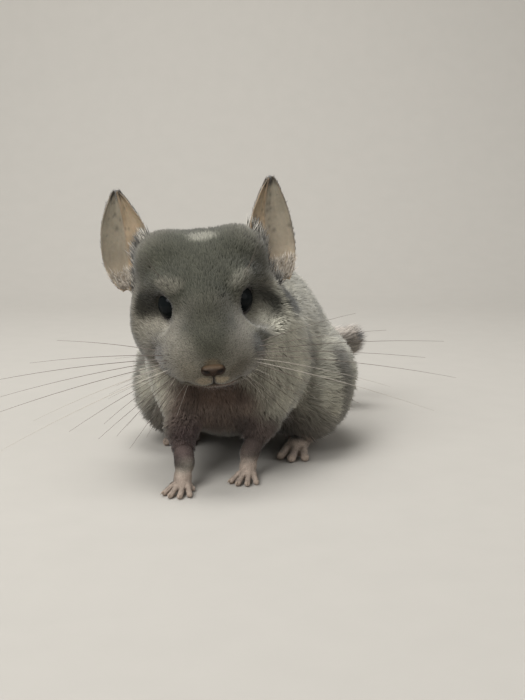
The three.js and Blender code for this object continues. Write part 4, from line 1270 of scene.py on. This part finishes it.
def ear_point(side, u, v):
    """A point of the ear's leaf: u from its foot to its tip, v from the front edge to the rear."""
    pose = EAR_POSE[side]
    u, v = np.broadcast_arrays(u, v)
    notch, bend, tip = (np.array(pose[name], float) for name in ("notch", "bend", "tip"))
    w = u[..., None]
    rib = (1 - w) ** 2 * notch + 2 * w * (1 - w) * bend + w * w * tip
    rear = EAR_SHAPE["rear"] * np.sin(math.pi * u**0.85) ** 0.66
    front = EAR_SHAPE["front"] * np.sin(math.pi * u**0.7) ** 0.8
    away = np.sqrt(v * v + 0.02) - math.sqrt(0.02)
    width = away * np.where(v > 0, rear, front)
    heading = np.radians(np.where(v > 0, -pose["swivel"], 180 + (180 - EAR_SHAPE["fold"]) - pose["swivel"]))
    hollow = EAR_SHAPE["bulge"] * 4 * away * (1 - away)
    x = rib[..., 0] + np.cos(heading) * width
    y = rib[..., 1] + np.sin(heading) * width + hollow
    return on_head(np.stack([SIDES[side] * x, y, rib[..., 2] + 0.08 * width], -1))


def ear_frame(side, u, v):
    e = 1e-3
    p = ear_point(side, u, v)
    normal = unit(np.cross(ear_point(side, u + e, v) - p, ear_point(side, u, v + e) - p))
    if (normal[..., 1] > 0).mean() < 0.5:
        normal = -normal
    return p, normal


def ear_up(side, u, v, p):
    """The way to the ear's tip at points of its leaf."""
    return unit(ear_point(side, u + 0.01, v) - p)


def off_surface(way, normal):
    """A way laid flat on a surface."""
    return unit(way - normal * (way * normal).sum(1)[:, None])


EAR_LONG, EAR_HALF = 40, 14  # the leaf's size for patterns on it
EAR_BACK_HAIRS, EAR_FRONT_HAIRS = 5200, 1500
FRINGE_TRIES, FRINGE_HAIRS, FRINGE_REACH = 30000, 1500, 1.2


def ear_colour(side, u, v, base):
    """Warm and pale at the foot, greyer above, dark at the tip and along the rim, with a few dark specks and
    a line of painted shade down the fold.
    """
    place = np.stack([u * EAR_LONG, v * EAR_HALF, np.full_like(u, SIDES[side])], -1)
    colour = np.empty(u.shape + (3,))
    colour[...] = base
    colour = blend(colour, EAR_FOOT_TONE, 1 - smoothstep(u, 0.12, 0.42))
    colour = blend(colour, EAR_GREY_TONE, smoothstep(u + 0.06 * noise(place, 5, 3), 0.42, 0.8) * 0.65)
    colour = blend(colour, EAR_TIP_TONE, smoothstep(u + 0.03 * noise(place, 3, 9), 0.87, 0.97))
    rim = smoothstep(np.abs(v), 0.93, 1.0) * 0.45 * smoothstep(u, 0.2, 0.4)
    colour = blend(colour, EAR_RIM_TONE, rim)
    rng = np.random.default_rng(seed_of(40, side))
    for _ in range(34 if side == "left" else 22):
        at_u, at_v, reach = rng.uniform(0.45, 0.95), rng.uniform(-0.9, 0.95), rng.uniform(0.3, 1.0)
        far = np.hypot((u - at_u) * 42, (v - at_v) * 12)
        colour = blend(colour, EAR_SPECK_TONE, np.exp(-((far / reach) ** 2)) * 0.6)
    colour = blend(colour, EAR_RIB_TONE, np.exp(-((v / 0.1) ** 2)) * 0.25)
    outer = smoothstep(v, -0.1, 0.15)[..., None]
    colour = colour * (np.array((1.1, 1.0, 0.86)) * (1 - outer) + np.array((0.84, 0.86, 0.84)) * outer)
    # Painted shade: a dark line down the fold along the midrib, where the cupped leaf is deepest.
    fold = np.exp(-((v / 0.05) ** 2)) * 0.5 * smoothstep(u, 0.25, 0.5)
    colour = blend(colour, EAR_FOLD_SHADE_TONE, fold)
    veins = 0.5 + 0.5 * np.sin(v * 44 * (0.55 + 0.45 * u) + 2.0 * noise(place, 6, 15))
    return colour * (1 - 0.05 * veins * smoothstep(u, 0.1, 0.4))[..., None]


class CHINCHILLA_OT_ears(bpy.types.Operator):
    """Builds both ears as thin cupped leaves with ribs, and the fine hair on their backs and front edges"""
    bl_idname = "chinchilla.ears"
    bl_label = "Ears"

    def execute(self, context):
        head = context.scene.chinchilla_head
        coat = context.scene.chinchilla_coat
        for side in SIDES:
            self.leaf(side, head)
            self.hair(side)
            self.fringe(side, coat)
        return {"FINISHED"}

    def leaf(self, side, head):
        rows, columns = 72, 56
        u = np.linspace(0.03, 0.985, rows + 1)[:, None] * np.ones(columns + 1)
        v = np.ones((rows + 1, 1)) * np.linspace(-1, 1, columns + 1)
        p, normal = ear_frame(side, u, v)
        place = np.stack([u * EAR_LONG, v * EAR_HALF, 0 * u], -1)
        waves = np.sin(v * 40 * (0.55 + 0.45 * u) + 2 * noise(place, 6, 15))
        ribs = 0.03 * waves * smoothstep(u, 0.12, 0.4)
        nick = 0.35 * noise(place, 2.2, 21) * smoothstep(np.abs(v), 0.9, 1)
        p = p + normal * (ribs + 0.2 * noise(place, 7, 5))[..., None]
        p[..., 2] += nick * 0.6
        thick = head.ear_thickness / MM * (1 - 0.55 * np.maximum(v * v, u**2)) / 2
        faces = [p + normal * thick[..., None], p - normal * thick[..., None]]
        index = np.arange(2 * (rows + 1) * (columns + 1)).reshape(2, rows + 1, columns + 1)
        front, back = index

        def quads(a, b, c, d):
            return np.stack([a, b, c, d], -1).reshape(-1, 4)

        groups = [
            quads(front[:-1, :-1], front[1:, :-1], front[1:, 1:], front[:-1, 1:]),
            quads(back[:-1, :-1], back[:-1, 1:], back[1:, 1:], back[1:, :-1]),
            quads(front[:-1, 0], back[:-1, 0], back[1:, 0], front[1:, 0]),
            quads(front[:-1, -1], front[1:, -1], back[1:, -1], back[:-1, -1]),
            quads(front[0, :-1], front[0, 1:], back[0, 1:], back[0, :-1]),
            quads(front[-1, :-1], back[-1, :-1], back[-1, 1:], front[-1, 1:]),
        ]
        points = np.concatenate([face.reshape(-1, 3) for face in faces])
        mesh = mesh_of(f"ear_{side}_leaf", points, outward(points, [np.concatenate(groups)]))
        colour = ear_colour(side, u, v, np.array(head.ear_tone)).reshape(-1, 3)
        keep_colours(mesh, np.concatenate([colour, colour * 0.8]))
        finished(f"ear_{side}_leaf", mesh, finish_of(
            "ear_leather", attribute="coat_colour", scale=700, strength=0.2, bump=0.35, bump_distance=0.0003,
            roughness=0.62, subsurface_weight=0.12, subsurface_radius=(0.004, 0.0016, 0.0008),
            subsurface_scale=0.3, specular_ior_level=0.35,
        ), (f"ear_{side}",))

    def hair(self, side):
        """The fine hair on the ear's back, then the paler hair along its front edge and foot."""
        rng = np.random.default_rng(seed_of(60, side))
        count = EAR_BACK_HAIRS
        u = rng.uniform(0.05, 0.97, count)
        v = rng.uniform(-1, 1, count)
        p, normal = ear_frame(side, u, v)
        up = ear_up(side, u, v, p)
        lie = off_surface(up + rng.normal(size=up.shape) * 0.25, normal)
        size = [np.full(count, 0.22), rng.uniform(1.0, 2.0, count), rng.uniform(0.3, 0.7, count)]
        colour = ear_colour(side, u, v, np.array((0.36, 0.31, 0.25))) * 0.85
        tuft_piece(f"ear_{side}_back_hair", p + normal * 0.3, normal, lie, np.stack(size, -1), colour,
                   SHORT_BLADE, seed_of(70, side))
        count = EAR_FRONT_HAIRS
        half = count // 2
        u = np.concatenate([rng.uniform(0.08, 0.42, half) ** 1.1, rng.uniform(0.03, 0.2, half)])
        v = np.concatenate([rng.uniform(-1, -0.72, half), rng.uniform(-1, 1, half)])
        p, normal = ear_frame(side, u, v)
        up = ear_up(side, u, v, p)
        outer = np.array((SIDES[side] * 0.3, 0.1, 0.15)) @ HEAD.T
        lie = unit(up + outer + rng.normal(size=up.shape) * 0.35)
        rise = off_surface(-normal, lie)
        size = [np.full(count, 0.3), rng.uniform(2.0, 5.0, count), rng.uniform(0.3, 1.4, count)]
        colour = np.clip(tone(200, 190, 176) * rng.uniform(0.75, 1.25, (count, 1)), 0, 0.9)
        tuft_piece(f"ear_{side}_front_hair", p - normal * 0.3, rise, lie, np.stack(size, -1), colour,
                   SHORT_BLADE, seed_of(72, side))

    def fringe(self, side, coat):
        """The spiky hair on the crown along the line where the ear stands up from it."""
        rng = np.random.default_rng(seed_of(80, side))
        u, v = rng.uniform(0.04, 0.8, FRINGE_TRIES), rng.uniform(-1, 0.9, FRINGE_TRIES)
        p, normal = ear_frame(side, u, v)
        near = np.flatnonzero(np.abs(coat_parts(p)[0]) < FRINGE_REACH)[:FRINGE_HAIRS]
        if len(near) < 100:
            raise RuntimeError("the ear doesn't meet the crown")
        p, normal, u, v = p[near], normal[near], u[near], v[near]
        count = len(p)
        up = ear_up(side, u, v, p)
        p = drawn_onto(skin_field, p - normal * rng.uniform(0.3, 3.6, (count, 1)), 7)
        steps = 0.3 * np.eye(3)
        rise = unit(np.stack([skin_field(p + step) - skin_field(p - step) for step in steps], -1))
        lie = unit(up + rise * 0.25 + rng.normal(size=(count, 3)) * 0.2)
        size = [np.full(count, 0.42), rng.uniform(3.5, 8.0, count), rng.uniform(0.5, 1.6, count)]
        pale = (rng.random((count, 1)) < 0.35) * 1.0
        colour = tone(66, 63, 56) * (1 - pale) + tone(160, 155, 144) * pale
        colour = np.clip(colour * coat.gain * rng.uniform(0.8, 1.2, (count, 1)), 0, 0.9)
        tuft_piece(f"ear_{side}_fringe", p, rise, lie, np.stack(size, -1), colour, LONG_BLADE,
                   seed_of(82, side))


# Eyes and nose

EYE_DOME = 0.35
LID_WIDE, LID_HIGH = 64, 54  # how far the lids stand open, in degrees from the way the eye looks
LID_TURNS = 64

class CHINCHILLA_OT_eyes(bpy.types.Operator):
    """Builds both eyes, each with a domed front, and the dark rim of the lids round it"""
    bl_idname = "chinchilla.eyes"
    bl_label = "Eyes"

    def execute(self, context):
        head = context.scene.chinchilla_head
        gloss = finish_of("eye_gloss", colour=tuple(head.eye_tone), scale=260, strength=0.5, bump=0.0,
                          roughness=0.2, coat_weight=0.08, coat_roughness=0.03, specular_ior_level=0.03)
        rim = finish_of("lid_skin", colour=(0.022, 0.018, 0.016), scale=1500, strength=0.35, bump=0.4,
                        bump_distance=0.0002, roughness=0.5)
        look = EYE_LOOKS / np.linalg.norm(EYE_LOOKS)
        level = np.cross((0, 0, 1), look)
        level /= np.linalg.norm(level)
        upright = np.cross(look, level)
        for side in SIDES:
            rings, turns = 30, 48
            around = np.linspace(0, 2 * math.pi, turns, endpoint=False)
            points = [look * (EYE_RADIUS + EYE_DOME)]
            for n in range(1, rings):
                open_by = math.pi * n / rings
                dome = EYE_DOME * math.exp(-((open_by / 0.75) ** 2))
                for a in around:
                    way = look * math.cos(open_by)
                    way = way + (level * math.cos(a) + upright * math.sin(a)) * math.sin(open_by)
                    points.append(way * (EYE_RADIUS + dome))
            points.append(-look * EYE_RADIUS)
            points = np.array(points) + EYE
            index = 1 + np.arange((rings - 1) * turns).reshape(rings - 1, turns)
            after = np.roll(index, -1, 1)
            quads = np.stack([index[:-1], after[:-1], after[1:], index[1:]], -1)
            ends = np.concatenate([
                np.stack([np.zeros(turns, int), after[0], index[0]], -1),
                np.stack([np.full(turns, len(points) - 1), index[-1], after[-1]], -1),
            ])
            placed = on_head(sided(points, side))
            ball = mesh_of(f"eye_{side}_ball", placed, self.turned_out(placed, quads.reshape(-1, 4), ends))
            finished(f"eye_{side}_ball", ball, gloss, (f"eye_{side}",))
            path = []
            around = np.linspace(0, 2 * math.pi, LID_TURNS, endpoint=False)
            for a in around:
                open_by = math.radians(LID_WIDE + (LID_HIGH - LID_WIDE) * abs(math.sin(a)))
                way = look * math.cos(open_by)
                way = way + (level * math.cos(a) + upright * math.sin(a)) * math.sin(open_by)
                path.append(EYE + way * (EYE_RADIUS + 0.3))
            path = on_head(sided(np.array(path), side))
            swell = 0.62 + 0.12 * np.abs(np.sin(around))
            lids = merged([tube(path, swell, 10, closed=True)])
            finished(f"eye_{side}_lids", mesh_of(f"eye_{side}_lids", *lids), rim)
        return {"FINISHED"}

    @staticmethod
    def turned_out(points, quads, ends):
        middle = points.mean(0)

        def faces_out(group):
            a, b, c = points[group[:, 0]], points[group[:, 1]], points[group[:, 2]]
            away = (np.cross(b - a, c - a) * (a - middle)).sum(1)
            return np.where((away > 0)[:, None], group, group[:, ::-1])

        return [faces_out(quads), faces_out(ends)]


def nose_field(p):
    ph = in_head(p)
    pad = ellipsoid(ph, NOSE_AT, (4.5, 3.2, 2.4))
    beside = folded(ph)
    pad = joined(pad, ellipsoid(beside, NOSE_AT + (2.6, -0.5, 0.1), (2.1, 2.4, 1.9)), 0.8)
    hole = joined(
        limb(beside, NOSE_AT + (1.2, -2.9, -0.9), NOSE_AT + (2.3, -2.9, 0.0), 0.8, 0.95),
        limb(beside, NOSE_AT + (2.3, -2.9, 0.0), NOSE_AT + (4.1, -1.7, 0.5), 0.95, 0.5), 0.3)
    pad = -joined(-pad, hole, 0.35)
    cleft = limb(beside, NOSE_AT + (0, -3.4, -0.4), NOSE_AT + (0, -2.2, -2.6), 0.3, 0.45)
    return -joined(-pad, cleft, 0.4)


class CHINCHILLA_OT_nose(bpy.types.Operator):
    """Builds the bare nose with its two curved nostrils and the cleft under it"""
    bl_idname = "chinchilla.nose"
    bl_label = "Nose"

    def execute(self, context):
        head = context.scene.chinchilla_head
        middle = on_head(NOSE_AT)
        half, step = 6.4, 0.26
        xs, ys, zs = (np.arange(middle[n] - half, middle[n] + half, step) for n in range(3))
        points, quads = surface_net(nose_field, xs, ys, zs)
        points = drawn_onto(nose_field, points, 2)
        mesh = mesh_of("nose_pad", points, quads)
        ph = in_head(points)
        out, up = np.abs(ph[:, 0]), ph[:, 2] - NOSE_AT[2]
        # Painted shade: the nostril hollows are darkened to near black.
        hole = np.exp(-(((out - 2.5) / 2.0) ** 2 + (up / 1.1) ** 2))
        deep = smoothstep(hole * (ph[:, 1] < NOSE_AT[1] - 1), 0.45, 0.9)
        colour = blend(np.array(head.nose_tone), np.array((0.012, 0.008, 0.006)), deep)
        edge = smoothstep(ph[:, 2], NOSE_AT[2] + 1.1, NOSE_AT[2] + 2.1) * 0.7
        colour = blend(colour, np.array((0.10, 0.065, 0.036)), edge)
        keep_colours(mesh, colour)
        finished("nose_pad", mesh, finish_of(
            "nose_leather", attribute="coat_colour", scale=2600, strength=0.3, bump=0.6, bump_distance=0.0002,
            roughness=0.55, specular_ior_level=0.2), ("nose",))
        return {"FINISHED"}


# Whiskers

PAD_AT = np.array((12.8, -20.5, -14.0))
WHISKER_TOP, WHISKER_BOTTOM = 13, -46  # degrees over the level
WHISKER_TONES = {True: (92, 82, 74), False: (172, 164, 154)}
SHORT_WHISKERS, BROW_WHISKERS = 22, 3


def whisker_line(side, share, column, root, length, spread=0.0):
    """A whisker that sweeps out from its root and hangs a little towards its tip."""
    rise = math.radians(WHISKER_TOP + (WHISKER_BOTTOM - WHISKER_TOP) * share + spread)
    sweep = math.radians(-8 + 18 * column / 2)
    s = SIDES[side]
    level = math.cos(rise)
    ahead = np.array((s * math.cos(sweep) * level, math.sin(sweep) * level, math.sin(rise)))
    t = np.linspace(0, 1, 13)[:, None]
    path = np.array(root) + ahead * t * length
    path[:, 2] -= t[:, 0] ** 2 * length * 0.12
    path[:, 1] += t[:, 0] ** 2 * length * 0.05
    return on_head(path)


class CHINCHILLA_OT_whiskers(bpy.types.Operator):
    """Grows the whiskers of both pads: twelve long ones a side, and shorter ones between and under them"""
    bl_idname = "chinchilla.whiskers"
    bl_label = "Whiskers"

    def execute(self, context):
        head = context.scene.chinchilla_head
        rng = np.random.default_rng(90)
        width = head.whisker_width / MM / 2
        points, edges, radii, shade = [], [], [], []

        def add(path, thick, dark):
            start = len(points)
            count = len(path)
            points.extend(path)
            edges.extend((start + n, start + n + 1) for n in range(count - 1))
            t = np.linspace(0, 1, count)
            radii.extend(thick * (1 - 0.72 * t))
            shade.extend([tone(*WHISKER_TONES[dark]) * (0.8 + 0.4 * rng.random())] * count)

        for side, s in SIDES.items():
            for row in range(4):
                for column in range(3):
                    share = (row + 1 - (column + 1) / 3) / (4 - 1 / 3)
                    root = (s * (8.4 + column * 2.1), PAD_AT[1] - 3.4 + column * 2.4,
                            PAD_AT[2] + 3.4 - row * 1.8 - column * 0.5)
                    length = 40 + 52 * math.exp(-(((share - 0.34) / 0.26) ** 2))
                    dark = (row + 2 * column) % 5 != 1
                    add(whisker_line(side, share, column, root, length), width, dark)
            for n in range(SHORT_WHISKERS):
                share = rng.uniform(0.1, 1.35)
                column = rng.uniform(-0.6, 2)
                root = (s * rng.uniform(6.2, 13.5), PAD_AT[1] + rng.uniform(-5, 2),
                        PAD_AT[2] + 3.0 - 6.4 * min(share, 1.1) + rng.uniform(-0.8, 0.8))
                length = rng.uniform(12, 34)
                path = whisker_line(side, share, column, root, length, rng.uniform(-8, 8))
                add(path, width * 0.62, n % 3 != 0)
            for n in range(BROW_WHISKERS):
                root = (s * (11 + n * 2.2), -3.0 - n * 0.4, 9.0)
                add(whisker_line(side, -0.55 - 0.2 * n, 2, root, 17 + 4 * n), width * 0.55, True)
        base = mesh_of("whiskers_lines", points, [])
        base.edges.add(len(edges))
        base.edges.foreach_set("vertices", np.array(edges, np.int32).ravel())
        base.update()
        keep_values(base, "radius_here", "FLOAT", np.array(radii) * MM)
        keep_colours(base, np.array(shade))
        hair = finish_of("whisker_hair", attribute="coat_colour", scale=400, strength=0.25, bump=0.0,
                         roughness=0.4, specular_ior_level=0.4)
        mesh = grown("whiskers", base, strand_tree(), {"Material": hair, "Thickness": 1.0, "Sides": 6})
        shade_smooth(mesh)
        finished("whiskers", mesh, hair)
        return {"FINISHED"}


class CHINCHILLA_OT_claws(bpy.types.Operator):
    """Sets a small curved claw on every toe"""
    bl_idname = "chinchilla.claws"
    bl_label = "Claws"

    def execute(self, context):
        t = np.linspace(0, 1, 7)
        path = np.stack([0 * t, t, 0.28 * np.sin(t * 2.4) - 0.55 * t * t], -1)
        points, groups = tube(path, 0.26 * (1 - t) ** 0.8 + 0.02, 8)
        claw = bpy.data.meshes.new("claw_shape")
        faces = [list(map(int, f)) for g in outward(points, groups) for f in g]
        claw.from_pydata(points.tolist(), [], faces)
        keep_values(claw, "patch", "FLOAT_VECTOR", points * 0)
        shape = new_object("claw_shape", claw)
        horn = finish_of("claw_horn", colour=(0.34, 0.27, 0.21), scale=1200, stretch=(1, 1, 3), strength=0.35,
                         bump=0.2, bump_distance=0.0001, roughness=0.35)
        roots, turns, sizes = [], [], []
        for side in SIDES:
            for toe, ahead, length in toes_of(side):
                end, radius = toe[-1]
                root = on_body(end + ahead * radius * 0.35 + (0, 0, radius * 0.45))
                roots.append(root)
                way = BODY @ ahead
                turns.append((0.0, 0.0, math.atan2(way[1], way[0]) - math.pi / 2))
                sizes.append((length * 0.9, length * 1.15, length * 0.9))
        base = mesh_of("claw_roots", np.array(roots), [])
        keep_values(base, "turn", "FLOAT_VECTOR", np.array(turns))
        keep_values(base, "size", "FLOAT_VECTOR", np.array(sizes) * MM)
        keep_values(base, "root_place", "FLOAT_VECTOR", bake_place(np.array(roots)))
        tree = bpy.data.node_groups.get("tufts_on_roots") or tuft_tree()
        mesh = grown("claws", base, tree, {"Blade": shape, "Material": horn, "Length": 1.0, "Width": 1.0,
                                           "Unevenness": 0.05, "Seed": 3})
        bpy.data.objects.remove(shape)
        shade_smooth(mesh)
        finished("claws", mesh, horn)
        return {"FINISHED"}


# Tail

TAIL = ((0, 104, 30), (2, 120, 25), (9, 134, 25), (21, 142, 30), (31, 144, 33), (40, 141, 37))
TAIL_HAIRS = 6000
TAIL_CORE_END = 0.93  # the brush's hair runs on past it


class CHINCHILLA_OT_tail(bpy.types.Operator):
    """Builds the tail: a thin core and the bristly brush that grows along it"""
    bl_idname = "chinchilla.tail"
    bl_label = "Tail"

    def execute(self, context):
        coat = context.scene.chinchilla_coat
        path = on_body(smooth_curve(TAIL, 60))
        t = np.linspace(0, 1, len(path))
        core = (4.6 - 2.0 * t) * (1 - 0.8 * smoothstep(t, 0.75, 0.96))
        keep = t < TAIL_CORE_END
        points, groups = merged([tube(path[keep], core[keep], 20)])
        mesh = mesh_of("tail_core", points, groups)
        keep_colours(mesh, np.tile(tone(88, 82, 74), (len(points), 1)))
        finished("tail_core", mesh, skin_finish(), ("tail_base", "tail_tip"))

        rng = np.random.default_rng(coat.seed + 100)
        count = TAIL_HAIRS
        share = np.sort(rng.uniform(0, TAIL_CORE_END, count))
        at = np.stack([np.interp(share, t, path[:, n]) for n in range(3)], -1)
        ahead = unit(np.stack([np.interp(share, t, np.gradient(path[:, n])) for n in range(3)], -1))
        out = off_surface(rng.normal(size=(count, 3)), ahead)
        roots = at + out * np.interp(share, t, core)[:, None] * 0.9
        lie = off_surface(ahead + rng.normal(size=(count, 3)) * 0.14, out)
        brush = smoothstep(share, 0.1, 0.6)
        length = (8 + 8.5 * brush) * rng.uniform(0.7, 1.1, count)
        height = (1.6 + 3.8 * brush) * rng.uniform(0.2, 1.05, count)
        reach = np.interp(share, (0, 0.7, TAIL_CORE_END), (1.0, 1.0, 0.72))
        size = np.stack([np.full(count, 0.34), length * reach, height * reach], -1)
        streak = rng.random((count, 1))
        colour = tone(112, 106, 98) * (1 - streak) + tone(166, 158, 149) * streak
        colour = np.clip(colour * coat.gain, 0, 0.9)
        tuft_piece("tail_brush", roots, out, lie, size, colour, LONG_BLADE, coat.seed + 101)
        return {"FINISHED"}


# Stage

CAMERA_AT = (0.0, -415.0, 127.0)
CAMERA_DOWN = 10.0
SENSOR = 36.0
CAMERA_LENS = SENSOR * 1054 / 700
STAGE_REACH = 2600.0  # from the middle to the floor's sides and front, and up to the backdrop's top
BEND_START, BEND_RADIUS = 520.0, 380.0
LAMPS = (
    # name, place, what it looks at, size, share of the key light's power
    ("key", (-420, -520, 720), (0, 0, 40), 620, 1.0),
    ("side_fill", (620, -420, 420), (0, 20, 50), 700, 0.16),
    ("top", (0, 160, 900), (0, 30, 40), 500, 0.35),
    ("backdrop_light", (-150, 150, 900), (0, 900, 200), 600, 0.7),
)


class CHINCHILLA_OT_stage(bpy.types.Operator):
    """Sets the floor with its backdrop, the soft lights and the camera"""
    bl_idname = "chinchilla.stage"
    bl_label = "Stage"

    def execute(self, context):
        stage = context.scene.chinchilla_stage
        profile = [(-STAGE_REACH, 0.0), (BEND_START, 0.0)]
        profile += [(BEND_START + BEND_RADIUS * math.sin(a), BEND_RADIUS - BEND_RADIUS * math.cos(a))
                    for a in np.linspace(0.1, math.pi / 2, 14)]
        profile.append((BEND_START + BEND_RADIUS, STAGE_REACH))
        points = np.array([(s * STAGE_REACH, y, z) for y, z in profile for s in (-1, 1)])
        quads = np.array([(2 * n, 2 * n + 1, 2 * n + 3, 2 * n + 2) for n in range(len(profile) - 1)])
        mesh = mesh_of("floor_and_backdrop", points, quads)
        floor = new_object("floor_and_backdrop", mesh)
        paper = finish_of("stage_paper", colour=tuple(stage.floor_tone), scale=60, strength=0.03,
                          bump=0.04, bump_distance=0.001, roughness=0.9)
        mesh.materials.append(paper)
        for name, at, to, size, share in LAMPS:
            self.lamp(name, at, to, size, stage.key_power * share)
        world = bpy.data.worlds.new("studio_air")
        context.scene.world = world
        world.use_nodes = True
        air = world.node_tree.nodes["Background"]
        air.inputs["Color"].default_value = (1.0, 0.985, 0.96, 1)
        air.inputs["Strength"].default_value = stage.fill
        context.scene.view_settings.view_transform = "Standard"
        data = bpy.data.cameras.new("camera")
        data.sensor_width = SENSOR
        data.lens = CAMERA_LENS
        data.clip_start = 0.01
        camera = bpy.data.objects.new("camera", data)
        context.scene.collection.objects.link(camera)
        camera.location = (np.array(CAMERA_AT) + SHIFT) * MM
        camera.rotation_euler = (math.radians(90 - CAMERA_DOWN), 0, 0)
        context.scene.camera = camera
        return {"FINISHED"}

    @staticmethod
    def lamp(name, at, to, size, power):
        data = bpy.data.lights.new(name, "AREA")
        data.shape = "DISK"
        data.size = size * MM
        data.energy = power
        lamp = bpy.data.objects.new(name, data)
        bpy.context.scene.collection.objects.link(lamp)
        at = (np.array(at, float) + SHIFT) * MM
        to = (np.array(to, float) + SHIFT) * MM
        lamp.location = at
        way = to - at
        flat = math.hypot(way[0], way[1])
        lamp.rotation_euler = (math.atan2(flat, -way[2]), 0, math.atan2(-way[0], way[1]))


class CHINCHILLA_PT_panel(bpy.types.Panel):
    """Lists the chinchilla's pieces and settings in the sidebar"""
    bl_idname = "CHINCHILLA_PT_panel"
    bl_label = "Chinchilla"
    bl_space_type = "VIEW_3D"
    bl_region_type = "UI"
    bl_category = "Chinchilla"

    def draw(self, context):
        layout = self.layout
        for operator in OPERATORS:
            layout.operator(operator.bl_idname)
        for name, group in SETTINGS.items():
            for prop in group.__annotations__:
                layout.prop(getattr(context.scene, name), prop)


SETTINGS = {
    "chinchilla_coat": CHINCHILLA_PG_coat,
    "chinchilla_head": CHINCHILLA_PG_head,
    "chinchilla_stage": CHINCHILLA_PG_stage,
}
OPERATORS = (
    CHINCHILLA_OT_stage, CHINCHILLA_OT_skin, CHINCHILLA_OT_coat, CHINCHILLA_OT_ears, CHINCHILLA_OT_eyes,
    CHINCHILLA_OT_nose, CHINCHILLA_OT_whiskers, CHINCHILLA_OT_claws, CHINCHILLA_OT_tail,
)


def register():
    for cls in (*SETTINGS.values(), *OPERATORS, CHINCHILLA_PT_panel):
        bpy.utils.register_class(cls)
    for name, group in SETTINGS.items():
        setattr(bpy.types.Scene, name, PointerProperty(type=group))


def unregister():
    for name in SETTINGS:
        delattr(bpy.types.Scene, name)
    for cls in reversed((*SETTINGS.values(), *OPERATORS, CHINCHILLA_PT_panel)):
        bpy.utils.unregister_class(cls)


def main():
    register()
    for operator in OPERATORS:
        family, name = operator.bl_idname.split(".")
        getattr(getattr(bpy.ops, family), name)()


if __name__ == "__main__":
    main()
